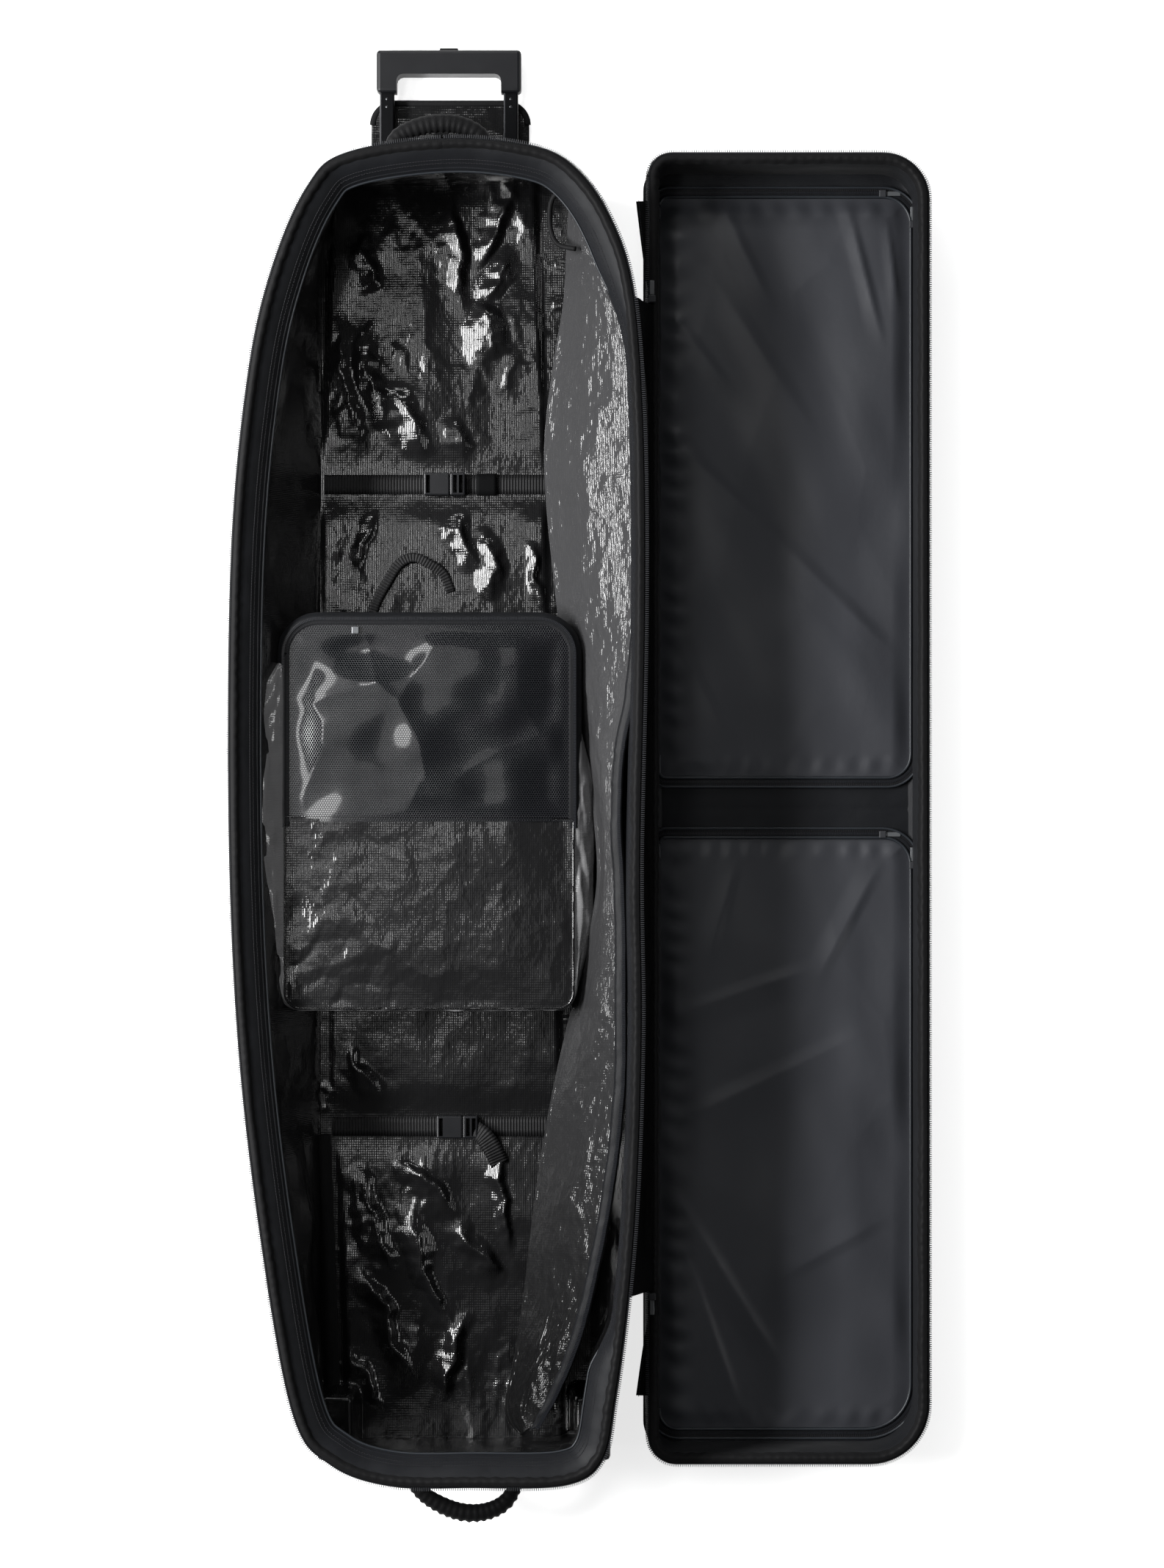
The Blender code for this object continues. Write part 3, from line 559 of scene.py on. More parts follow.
def window_look(name, base):
    """Clear film bonded to a mesh of round holes, three millimetres apart."""
    look = Look(name, base, 0.16, specular=0.5)
    pitch = 0.0031
    distance = []
    for offset in (0.0, 0.5):
        scale = look.node("ShaderNodeMapping")
        scale.inputs["Scale"].default_value = (1 / pitch, 1 / (pitch * math.sqrt(3)), 1)
        scale.inputs["Location"].default_value = (offset, offset, 0)
        look.tree.links.new(look.place(), scale.inputs[0])
        part = look.node("ShaderNodeVectorMath", operation="FRACTION")
        look.tree.links.new(scale.outputs[0], part.inputs[0])
        centred = look.node("ShaderNodeVectorMath", operation="SUBTRACT")
        centred.inputs[1].default_value = (0.5, 0.5, 0)
        look.tree.links.new(part.outputs[0], centred.inputs[0])
        shaped = look.node("ShaderNodeVectorMath", operation="MULTIPLY")
        shaped.inputs[1].default_value = (1, math.sqrt(3), 0)
        look.tree.links.new(centred.outputs[0], shaped.inputs[0])
        far = look.node("ShaderNodeVectorMath", operation="LENGTH")
        look.tree.links.new(shaped.outputs[0], far.inputs[0])
        distance.append(far.outputs["Value"])
    nearest = look.math("MINIMUM", distance[0], distance[1])
    edge = look.node("ShaderNodeMapRange", interpolation_type="SMOOTHSTEP")
    edge.inputs["From Min"].default_value, edge.inputs["From Max"].default_value = 0.36, 0.48
    look.tree.links.new(nearest, edge.inputs["Value"])
    strand = edge.outputs[0]
    look.raise_by(strand, 0.00004)
    look.vary(strand, 0.6, 1.8)
    look.roughen(strand, 0.07, 0.40)
    return look.done()


def make_looks():
    near_black = (0.0030, 0.0031, 0.0034)
    return {
        "shell": woven("shell_cloth", (0.0022, 0.0023, 0.0025), 0.70, sheen=0.0, specular=0.05),
        "binding": woven("binding_tape", (0.0072, 0.0072, 0.0076), 0.55, pitch=0.0014, specular=0.06),
        "collar": woven("collar_cloth", (0.0062, 0.0067, 0.0080), 0.5, pitch=0.0008),
        "zip_tape": woven("zip_tape", (0.0060, 0.0064, 0.0074), 0.45, pitch=0.0007),
        "padding": woven("padding_cloth", near_black, 0.85),
        "tarp": tarp("tarp_lining", (0.0045, 0.0045, 0.0048)),
        # The divider's base colour grows darker towards the wheel end: painted shade where it turns from the
        # lights.
        "divider": tarp("divider_tarp", (0.027, 0.027, 0.028), 0.45, 0.0008, painted_shade_span=(-0.74, 0.02), coat=0.32),
        "pouch": tarp("pouch_tarp", (0.0075, 0.0075, 0.0079), 0.42, 0.00030, coat=0.9),
        # The pouch's sides are the lining's tarp with a far paler base colour: painted reflection of the
        # light from the right.
        "gusset": tarp("pouch_gusset_tarp_painted_reflection", (0.15, 0.15, 0.153), 0.45, 0.0004),
        "nylon": satin_nylon("pocket_nylon_cloth", (0.0245, 0.0258, 0.0305)),
        "webbing": webbing_look("strap_webbing", (0.0045, 0.0045, 0.0048)),
        "window": window_look("window_film", (0.0036, 0.0040, 0.0050)),
        "tooth": moulded("zip_teeth", (0.026, 0.027, 0.030), 0.45, specular=0.2),
        "coil": moulded("zip_coil", (0.011, 0.012, 0.015), 0.40, specular=0.3),
        "thread": moulded("thread", (0.014, 0.014, 0.016), 0.6, specular=0.2),
        "piping": moulded("piping_cord", (0.015, 0.0175, 0.021), 0.40, specular=0.3),
        "plastic": moulded("satin_plastic", (0.0050, 0.0053, 0.0064), 0.42, specular=0.25),
        "dark_plastic": moulded("dark_plastic", (0.0030, 0.0030, 0.0034), 0.36, specular=0.25),
        "pull": moulded("pull_tab", (0.10, 0.105, 0.11), 0.35, metallic=0.4),
        "tube": brushed("black_tube", (0.006, 0.0063, 0.0072), 0.36),
        "steel": brushed("steel", (0.45, 0.45, 0.46), 0.35),
        "rivet": brushed("rivet", (0.05, 0.052, 0.055), 0.35),
        "tyre": moulded("tyre_rubber", (0.012, 0.012, 0.012), 0.7, grain=0.0001, size=0.002),
        "sheet": moulded("stiffener_plastic", (0.03, 0.03, 0.03), 0.6),
    }


# ---------------------------------------------------------------- stage
def make_camera():
    camera = bpy.data.objects.new("camera", bpy.data.cameras.new("camera"))
    camera.data.sensor_fit = "VERTICAL"
    camera.data.angle_y = VIEW_ANGLE
    camera.data.clip_end = 50
    camera.location = (0, CAMERA_Y, CAMERA_HEIGHT)
    bpy.context.scene.collection.objects.link(camera)
    bpy.context.scene.camera = camera


def softbox(name, place, target, size, power):
    light = bpy.data.lights.new(name, "AREA")
    light.shape = "RECTANGLE"
    light.size, light.size_y = size
    light.energy = power
    obj = bpy.data.objects.new(name, light)
    place, target = np.array(place, float), np.array(target, float)
    obj.location = place
    aim = target - place
    flat = math.hypot(aim[0], aim[1])
    obj.rotation_euler = (math.atan2(flat, -aim[2]), 0, math.atan2(aim[1], aim[0]) - math.pi / 2)
    bpy.context.scene.collection.objects.link(obj)


def make_stage():
    bpy.context.scene.view_settings.view_transform = "Standard"
    world = bpy.data.worlds.new("studio")
    world.use_nodes = True
    world.node_tree.nodes["Background"].inputs[0].default_value = (1, 1, 1, 1)
    world.node_tree.nodes["Background"].inputs[1].default_value = 0.05
    bpy.context.scene.world = world
    paper = bpy.data.materials.new("paper")
    paper.use_nodes = True
    shader = paper.node_tree.nodes["Principled BSDF"]
    shader.inputs["Base Color"].default_value = (0.85, 0.85, 0.85, 1)
    shader.inputs["Roughness"].default_value = 0.9
    shader.inputs["Emission Color"].default_value = (1, 1, 1, 1)
    shader.inputs["Emission Strength"].default_value = 0.75
    size = 8.0
    corners = [(-size, -size, 0), (size, -size, 0), (size, size, 0), (-size, size, 0)]
    floor = mesh_object("studio_floor", corners, [[0, 1, 2, 3]], paper, smooth=False)
    floor.location.z = -0.0005
    softbox("key_left", (-2.2, 0.35, 1.9), (-0.1, 0, 0.1), (2.2, 0.50), 215)
    softbox("key_high", (-1.15, 0.5, 3.1), (-0.1, 0.1, 0.1), (1.5, 0.28), 16)
    softbox("panel_high", (-1.0, 0.2, 3.9), (-0.1, 0.0, 0.1), (2.6, 1.1), 8)
    softbox("fill_right", (2.3, -0.2, 1.8), (0, 0, 0.1), (1.8, 0.35), 14)
    softbox("back_top", (-0.3, 2.5, 1.9), (-0.1, 0, 0.1), (1.5, 0.30), 18)


# ---------------------------------------------------------------- putting pieces on bodies
def place(obj, body, slot, *nodes):
    """obj moves with a body and stands for the named nodes. Its slot is not used."""
    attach(obj, body)
    if nodes:
        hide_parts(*nodes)
    return obj


def bend_with_wall(obj, side, slot, *nodes):
    """Cloth of the tub, which stays where it is made, with its transform baked, and stands for the named
    nodes.
    """
    if side == "left":
        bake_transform(obj)
    else:
        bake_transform(obj)
    if nodes:
        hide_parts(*nodes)
    return obj


# ---------------------------------------------------------------- the tub's walls
def rim_halves():
    """The tub's rim as two lines, clockwise: the right half and the left half."""
    rim = smooth_curve(RIM_POINTS, 12, closed=True)
    rim = paced(np.concatenate([rim, rim[:1]]), CLOTH_STEP)[:-1]
    handle_end = np.argmin(np.abs(rim[:, 0] - MIDDLE_X) + (rim[:, 1] < 0) * 9)
    rim = np.roll(rim, -handle_end, axis=0)
    wheel_end = np.argmin(np.abs(rim[:, 0] - MIDDLE_X) + (rim[:, 1] > 0) * 9)
    right = rim[: wheel_end + 1]
    left = np.concatenate([rim[wheel_end:], rim[:1]])
    return {"right": right, "left": left}


def rim_height(rim):
    splay = np.linalg.norm(rim - foot_of(rim), axis=1)
    return PIVOT_Z + np.sqrt(np.maximum(WALL_LENGTH**2 - splay**2, 0.15**2))


def collar_share(rim):
    """How wide the collar is, as a share: it stands nearly upright along the hinge, under the divider."""
    beside_hinge = smoothstep(-0.02, 0.03, rim[:, 0])
    between_ends = smoothstep(-0.74, -0.66, rim[:, 1]) * (1 - smoothstep(0.52, 0.66, rim[:, 1]))
    return 1 - 0.72 * beside_hinge * between_ends


def rim_surface(rim, profile, wobble=None):
    """Rows of points along the rim. The profile gives inward distance and height above the rim, and may
    hold numbers or one value for each point of the rim."""
    inward = inward_of(rim)
    height = rim_height(rim)
    rows = []
    for across, rise in profile:
        across = np.broadcast_to(across, len(rim))
        plan = rim + inward * across[:, None]
        rows.append(np.column_stack([plan, height + rise]))
    points = np.array(rows)
    if wobble is not None:
        points = points + wobble
    return points


def gathers(run, size, seed):
    """The height of small puckers along a binding."""
    even = np.sin(run * 2 * np.pi / size + 3 * gradient_noise(run / 0.05, run * 0, seed))
    strength = 0.35 + 0.65 * smoothstep(-0.2, 0.4, gradient_noise(run / 0.18, run * 0 + 7.3, seed + 1))
    return even * strength


def make_binding(name, rim, surface, seed, width=BINDING_WIDTH, rise=BINDING_RISE):
    """The soft roll of tape inside the zip. surface turns a profile into rows of points."""
    run = line_lengths(rim)
    shares = np.linspace(0, 1, 11)
    profile = []
    for share in shares:
        arch = math.sin(math.pi * min(0.10 + share * 0.9, 1.0)) ** 0.55
        pucker = gathers(run, 0.0115, seed) * 0.0007 * math.sin(math.pi * share)
        uneven = 0.0018 * gradient_noise(run / 0.07, run * 0, seed + 9)
        edge = (gathers(run, 0.019, seed + 5) * 0.0008 + uneven) * share
        profile.append((0.003 + width * share**0.8 + edge, rise * arch - 0.0045 * share**3 + pucker))
    return cloth_grid(name, surface(rim, profile), LOOKS["binding"])


def make_teeth(name, rim, height, material, outward=0.0008):
    line = paced(np.column_stack([rim, height]), TOOTH_PITCH)
    out = -inward_of(line)
    places = line.copy()
    places[:, :2] += out * outward
    return blocks(name, places, directions(line[:, :2]), (0.0012, 0.0044, 0.0018), material, taper=0.6)


def lining_points(rim, side):
    """The tarp on the inside of the walls, from the collar down to the floor."""
    share = collar_share(rim)
    inward = inward_of(rim)
    top = rim + inward * ((COLLAR_WIDTH + 0.002) * share + 0.003 * (1 - share))[:, None]
    top_z = rim_height(rim) - COLLAR_DROP - 0.003
    foot = foot_of(rim)
    foot_in = foot + (foot - rim) / np.maximum(np.linalg.norm(foot - rim, axis=1), 0.01)[:, None] * 0.004
    rows = []
    count = 46
    for level in range(count):
        down = level / (count - 1)
        plan = top * (1 - down) + foot_in * down
        z = top_z * (1 - down) + (FLOOR_TOP_Z - 0.002) * down
        rows.append(np.column_stack([plan, z]))
    points = np.array(rows)
    run = line_lengths(rim)[None, :] + (3.0 if side == "left" else 0.0)
    depth = np.linspace(0, 0.17, count)[:, None]
    free = np.sin(np.pi * np.linspace(0, 1, count) ** 0.8)[:, None] ** 0.7
    wave = 0.009 * crumple(run, depth, 0.13, 301, 1, stretch=(1.0, 1.5))
    wave = wave + 0.007 * soft_noise(run, depth, 0.13, 305, 2)
    wave = wave + 0.0012 * crumple(run, depth, 0.035, 309, 1)
    return points + grid_normals(points) * (wave * free)[..., None] * np.array([1, 1, 0.4])


def collar_drop(level):
    """How far the collar lies below the rim at a share of its width."""
    return -0.0015 - (COLLAR_DROP - 0.0015) * (0.25 * level + 0.75 * level**1.7)


def make_tub_half(side, rim):
    share = collar_share(rim)
    height = rim_height(rim)
    run = line_lengths(rim)
    make_outer_wall(side, rim)
    teeth = make_teeth(f"tub_zip_teeth_{side}", rim, height, LOOKS["tooth"])
    bend_with_wall(teeth, side, "zip")
    tape = cloth_grid(f"tub_zip_tape_{side}", rim_surface(rim, TAPE_PROFILE), LOOKS["zip_tape"])
    bend_with_wall(tape, side, "zip")
    binding = make_binding(f"tub_binding_{side}", rim, rim_surface, 11 if side == "left" else 12)
    bend_with_wall(binding, side, "binding")
    profile = []
    for level in np.linspace(0, 1, 9):
        across = COLLAR_START + (COLLAR_WIDTH - COLLAR_START) * level * share
        ripple = 0.0012 * soft_noise(run, run * 0 + level * 0.03, 0.05, 21) * math.sin(math.pi * level)
        profile.append((across, collar_drop(level) + ripple))
    collar = cloth_grid(f"tub_collar_{side}", rim_surface(rim, profile), LOOKS["collar"])
    bend_with_wall(collar, side, "shell_fabric")
    for number, level in enumerate((0.56, 0.70)):
        across = COLLAR_START + (COLLAR_WIDTH - COLLAR_START) * level * share
        line = rim_surface(rim, [(across, collar_drop(level) + 0.0005)])[0]
        seam = stitches(f"tub_collar_stitches_{side}_{number}", line, LOOKS["thread"], slant=0.5 * number)
        bend_with_wall(seam, side, "zip")
    edge = rim_surface(rim, [(COLLAR_WIDTH * share + 0.001 + 0.002 * (1 - share), -COLLAR_DROP - 0.0005)])[0]
    piping = tube_mesh(f"tub_piping_{side}", edge, 0.0014, LOOKS["piping"], sides=8, capped=False)
    bend_with_wall(piping, side, "zip")
    coil_line = rim_surface(rim, [((COLLAR_WIDTH - 0.0035) * share, -COLLAR_DROP + 0.0035)])[0]
    coil = stitches(f"tub_inner_coil_{side}", coil_line, LOOKS["coil"], 0.0022, (0.0011, 0.0024, 0.0012))
    bend_with_wall(coil, side, "zip")
    lining = cloth_grid(f"tub_lining_{side}", lining_points(rim, side), LOOKS["tarp"])
    bend_with_wall(lining, side, "liner_tarp", f"side_wall_{side}")


def make_outer_wall(side, rim):
    """The outer cloth of half the tub, from the zip down to the back panel."""
    foot = foot_of(rim)
    height = rim_height(rim)
    out = -inward_of(rim)
    run = line_lengths(rim)
    count = 30
    rows = []
    for level in range(count):
        down = level / (count - 1)
        uneven = 0.003 * soft_noise(run, run * 0 + down * 0.2, 0.14, 41)
        bulge = 0.007 * math.sin(math.pi * down**0.8) + uneven
        bulge = bulge * math.sin(math.pi * min(1, 0.02 + down)) ** 0.5
        plan = rim * (1 - down) + foot * down + out * np.reshape(bulge, (-1, 1))
        z = height * (1 - down) + 0.013 * down
        rows.append(np.column_stack([plan, z]))
    tuck = foot - out * 0.010
    rows.append(np.column_stack([tuck, np.full(len(tuck), 0.0124)]))
    points = np.array(rows)
    wall = cloth_grid(f"tub_shell_{side}", points, LOOKS["shell"], flip=True)
    clear_wheel_wells(wall)
    other = "end_wall_handle_end" if side == "left" else "end_wall_wheel_end"
    bend_with_wall(wall, side, "shell_fabric", other)
    for name, row in (("upper", 4), ("lower", 27)):
        line = points[row] + np.column_stack([out * 0.0008, np.zeros(len(out))])
        if name == "lower":
            cord = tube_mesh(f"tub_base_piping_{side}", line, 0.0022, LOOKS["binding"], sides=8, capped=False)
            clear_wheel_wells(cord)
            bend_with_wall(cord, side, "binding")
        else:
            seam = stitches(f"tub_shell_stitches_{side}", line, LOOKS["thread"])
            bend_with_wall(seam, side, "shell_fabric")


def clear_wheel_wells(obj):
    """Removes the faces that would pass through the wheel housings."""
    mesh = obj.data
    points = np.array([v.co for v in mesh.vertices])
    inside = np.zeros(len(points), bool)
    for side in ("left", "right"):
        low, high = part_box(f"wheel_housing_{side}")
        inside |= ((points > np.array(low) + 0.001) & (points < np.array(high) - 0.001)).all(axis=1)
    cut = bmesh.new()
    cut.from_mesh(mesh)
    cut.verts.ensure_lookup_table()
    doomed = [face for face in cut.faces if all(inside[v.index] for v in face.verts)]
    bmesh.ops.delete(cut, geom=doomed, context="FACES")
    cut.to_mesh(mesh)
    cut.free()


# ---------------------------------------------------------------- the tub's floor
def strap_press(y):
    """1 away from the straps and 0 under them, where the tarp is pressed flat."""
    press = np.ones_like(y)
    for node in ("upper_strap_left", "lower_strap_left"):
        low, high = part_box(node)
        centre, half = (low.y + high.y) / 2, (high.y - low.y) / 2
        press = press * smoothstep(half - 0.002, half + 0.045, np.abs(y - centre))
    return press


def housing_mound(x, y):
    """How far the floor rises over the wheel housings at its corners."""
    rise = np.zeros_like(x)
    for side in ("left", "right"):
        low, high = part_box(f"wheel_housing_{side}")
        beyond_x = np.maximum(np.maximum(low.x - x, x - high.x), 0)
        beyond_y = np.maximum(y - high.y, 0)
        away = np.hypot(beyond_x, beyond_y)
        rise = np.maximum(rise, (high.z + 0.004 - FLOOR_TOP_Z) * (1 - smoothstep(0.002, 0.016, away)))
    return rise


FLOOR_FOLDS = [
    ((-0.318, 0.590), (-0.285, 0.430), 0.034, 0.011),
    ((-0.285, 0.570), (-0.250, 0.455), 0.038, 0.012),
    ((-0.240, 0.500), (-0.205, 0.420), 0.042, 0.012),
    ((-0.280, 0.690), (-0.262, 0.620), 0.030, 0.010),
    ((-0.166, 0.740), (-0.152, 0.600), 0.026, 0.011),
    ((-0.090, 0.755), (-0.125, 0.660), 0.026, 0.012),
    ((-0.085, 0.680), (-0.120, 0.610), 0.022, 0.009),
    ((-0.125, 0.610), (-0.105, 0.530), 0.046, 0.012),
    ((-0.160, 0.470), (-0.150, 0.405), 0.020, 0.007),
    ((-0.262, 0.345), (-0.285, 0.260), 0.020, 0.008),
    ((-0.160, 0.345), (-0.140, 0.270), 0.030, 0.010),
    ((-0.118, 0.320), (-0.112, 0.235), 0.030, 0.010),
    ((-0.062, 0.300), (-0.056, 0.225), 0.016, 0.007),
    ((-0.290, -0.500), (-0.235, -0.640), 0.030, 0.013),
    ((-0.235, -0.480), (-0.160, -0.560), 0.026, 0.010),
    ((-0.215, -0.560), (-0.175, -0.700), 0.030, 0.014),
    ((-0.280, -0.620), (-0.215, -0.770), 0.030, 0.015),
    ((-0.160, -0.570), (-0.105, -0.640), 0.026, 0.012),
    ((-0.150, -0.680), (-0.175, -0.800), 0.028, 0.013),
    ((-0.300, -0.730), (-0.260, -0.800), 0.022, 0.012),
    ((-0.110, -0.470), (-0.090, -0.600), 0.020, 0.010),
    ((-0.300, -0.340), (-0.250, -0.420), 0.026, 0.007),
]


def floor_rise(x, y):
    """The height of the tarp over the flat floor."""
    wheel_end = 1 - smoothstep(-0.56, -0.44, y)
    handle_end = smoothstep(0.34, 0.48, y)
    busy = 0.30 + 0.70 * wheel_end + 0.45 * handle_end
    patch = smoothstep(-0.25, 0.45, soft_noise(x, y, 0.12, 121, 2))
    rise = 0.010 * (crumple(x, y, 0.13, 101, 1, stretch=(0.8, 1.5)) + 0.25) * busy
    middling = crumple(x, y, 0.050, 111, 1, stretch=(0.7, 1.6)) + 0.15
    rise = rise + 0.0050 * middling * busy * (0.3 + 1.0 * patch)
    rise = rise + 0.0016 * (crumple(x, y, 0.020, 131, 2, stretch=(0.8, 1.3)) + 0.15) * busy * patch * 1.6
    rise = rise + 0.003 * (soft_noise(x, y, 0.10, 141, 2) + 0.4)
    bent_x = x + 0.016 * gradient_noise(x / 0.05, y / 0.05, 161)
    bent_x = bent_x + 0.005 * gradient_noise(x / 0.014, y / 0.014, 163)
    bent_y = y + 0.016 * gradient_noise(x / 0.05, y / 0.05, 162)
    bent_y = bent_y + 0.006 * gradient_noise(x / 0.016, y / 0.016, 164)
    for start, end, width, height in FLOOR_FOLDS:
        rise = rise + fold(bent_x, bent_y, start, end, width, height * 0.95)
    return np.maximum(rise, 0)


def panel_edges(y):
    """The left and right edges of the raised panel on the floor."""
    left_y = [-0.84, -0.74, -0.52, -0.43, 0.25, 0.43, 0.73]
    left_x = [-0.31, -0.306, -0.314, -0.324, -0.336, -0.336, -0.324]
    right_y = [-0.84, -0.31, 0.25, 0.43, 0.72]
    right_x = [-0.02, -0.0245, -0.0405, -0.0442, -0.0536]
    return np.interp(y, left_y, left_x), np.interp(y, right_y, right_x)


def make_floor():
    step = 0.0026
    xs = np.arange(FLOOR_LOW.x - 0.006, FLOOR_HIGH.x + 0.0065, step)
    ys = np.arange(FLOOR_LOW.y - 0.006, FLOOR_HIGH.y + 0.0065, step)
    x, y = np.meshgrid(xs, ys)
    left, right = panel_edges(y)
    on_panel = smoothstep(-0.001, 0.010, x - left) * smoothstep(-0.001, 0.010, right - x)
    rise = floor_rise(x, y) * strap_press(y) * on_panel
    rise = rise + 0.0022 * on_panel * strap_press(y)
    ditch = 0.0022 * smoothstep(0.6, 1.0, crumple(x, y, 0.03, 151, 2) + 0.5) * (1 - on_panel)
    z = FLOOR_TOP_Z + 0.0002 + rise + ditch
    z = np.maximum(z, FLOOR_TOP_Z + housing_mound(x, y) + 0.3 * rise)
    points = np.stack([x, y, z], axis=-1)
    plan = points[..., :2].reshape(-1, 2)
    core_low = np.array([FLOOR_LOW.x + FLOOR_CORNER, FLOOR_LOW.y + FLOOR_CORNER])
    core_high = np.array([FLOOR_HIGH.x - FLOOR_CORNER, FLOOR_HIGH.y - FLOOR_CORNER])
    away = np.linalg.norm(plan - np.clip(plan, core_low, core_high), axis=1)
    faces = grid_faces(*x.shape)
    kept = faces[(away[faces] < FLOOR_CORNER + 0.007).all(axis=1)]
    used = np.unique(kept)
    renumber = np.full(len(plan), -1)
    renumber[used] = np.arange(len(used))
    floor = mesh_object(
        "floor_tarp", points.reshape(-1, 3)[used], renumber[kept], LOOKS["tarp"], plan[used]
    )
    place(floor, "base", "liner_tarp", "floor_liner")
    make_side_padding()


def make_side_padding():
    """The dull padding strip that shows beside the floor at the wheel end."""
    ys = np.linspace(-0.800, -0.455, 110)
    across = np.linspace(0, 1, 12)
    left = np.interp(ys, [-0.80, -0.455], [-0.331, -0.341])
    right = np.interp(ys, [-0.80, -0.455], [-0.309, -0.322])
    grid = []
    for y, low, high in zip(ys, left, right):
        arch = np.sin(np.pi * across) ** 0.5
        uneven = 0.002 * soft_noise(across * 0.03 + 2, across * 0 + y, 0.04, 61)
        z = FLOOR_TOP_Z + 0.001 + 0.011 * arch + uneven
        grid.append(np.column_stack([low + (high - low) * across, np.full(12, y), z]))
    padding = cloth_grid("side_padding", np.array(grid), LOOKS["padding"])
    place(padding, "base", "shell_fabric")


# ---------------------------------------------------------------- straps and buckles
def webbing_strip(name, path, width, thickness, material):
    """A flat strip along a path of 3-D points that runs in x, its width along y."""
    path = paced(np.asarray(path, float), 0.004)
    half = width / 2
    rows = []
    for across in (-half, -half * 0.35, half * 0.35, half):
        rows.append(path + np.array([0, across, 0]))
    points = np.array(rows).transpose(1, 0, 2)
    strip = cloth_grid(name, points, material, flip=True)
    return thicken(strip, thickness, 1.0)


def make_straps():
    for prefix in ("upper", "lower"):
        for half in ("left", "right"):
            low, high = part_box(f"{prefix}_strap_{half}")
            y = (low.y + high.y) / 2
            z = low.z + 0.0004
            xs = np.linspace(low.x, high.x, 12)
            wave = 0.0014 * np.maximum(0, gradient_noise(xs * 25, xs * 0 + y * 3, 71))
            if half == "right":
                wave = wave * smoothstep(low.x + 0.050, low.x + 0.080, xs)
            line = np.column_stack([xs, np.full(12, y), z + wave])
            strap = webbing_strip(f"{prefix}_webbing_{half}", line, high.y - low.y, 0.0012, LOOKS["webbing"])
            place(strap, "base", "webbing", f"{prefix}_strap_{half}")
    low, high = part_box("upper_buckle_plug")
    y = (low.y + high.y) / 2
    keeper_line = np.column_stack(
        [np.linspace(high.x + 0.014, high.x + 0.040, 6), np.full(6, y), np.full(6, low.z + 0.0022)]
    )
    keeper = webbing_strip("upper_keeper", keeper_line, 0.0275, 0.0014, LOOKS["shell"])
    place(keeper, "upper_plug", "webbing")
    low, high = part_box("lower_buckle_plug")
    y = (low.y + high.y) / 2
    tail_line = [
        (high.x - 0.004, y - 0.004, low.z + 0.006),
        (high.x + 0.008, y - 0.012, low.z + 0.010),
        (high.x + 0.020, y - 0.030, low.z + 0.009),
        (high.x + 0.028, y - 0.048, low.z + 0.004),
    ]
    tail = turned_strip("lower_strap_tail", smooth_curve(tail_line, 5), 0.024, 0.0014, LOOKS["webbing"])
    place(tail, "base", "webbing")


def turned_strip(name, path, width, thickness, material):
    """A flat strip along any path, its width level with the floor."""
    path = paced(path, 0.003)
    side = np.cross(directions(path), [0.0, 0.0, 1.0])
    side /= np.linalg.norm(side, axis=1, keepdims=True)
    rows = [path + side * across for across in np.linspace(-width / 2, width / 2, 5)]
    strip = cloth_grid(name, np.array(rows).transpose(1, 0, 2), material)
    return thicken(strip, thickness, 0.0)


# ---------------------------------------------------------------- the divider
DIVIDER_ZIP_EDGE = [
    (-0.010, 0.728, 0.186), (0.022, 0.690, 0.186), (0.048, 0.620, 0.186), (0.066, 0.540, 0.186),
    (0.0735, 0.440, 0.185), (0.0745, 0.350, 0.185), (0.0735, 0.260, 0.184), (0.069, 0.180, 0.184),
    (0.060, 0.095, 0.182), (0.048, 0.040, 0.180), (0.043, -0.030, 0.178), (0.047, -0.130, 0.176),
    (0.049, -0.250, 0.176), (0.047, -0.390, 0.174), (0.036, -0.490, 0.172), (0.017, -0.600, 0.166),
    (-0.006, -0.695, 0.156), (-0.036, -0.770, 0.142), (-0.058, -0.812, 0.130),
]
DIVIDER_FOLD_EDGE = [
    (-0.012, 0.722, 0.180), (-0.016, 0.660, 0.140), (-0.020, 0.600, 0.110), (-0.032, 0.530, 0.100),
    (-0.043, 0.440, 0.096), (-0.043, 0.370, 0.094), (-0.034, 0.270, 0.094), (-0.018, 0.140, 0.094),
    (0.003, 0.040, 0.102), (0.016, -0.030, 0.118), (0.022, -0.130, 0.130), (0.004, -0.230, 0.112),
    (-0.024, -0.350, 0.088), (-0.044, -0.450, 0.078), (-0.060, -0.560, 0.074), (-0.070, -0.650, 0.074),
    (-0.082, -0.730, 0.078), (-0.094, -0.800, 0.090), (-0.075, -0.826, 0.108),
]


def with_divider(obj, slot, *nodes):
    """A piece of the divider, which moves with the right wall as the bag closes."""
    place(obj, "right_wall", slot, *nodes)
    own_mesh(obj)
    return obj


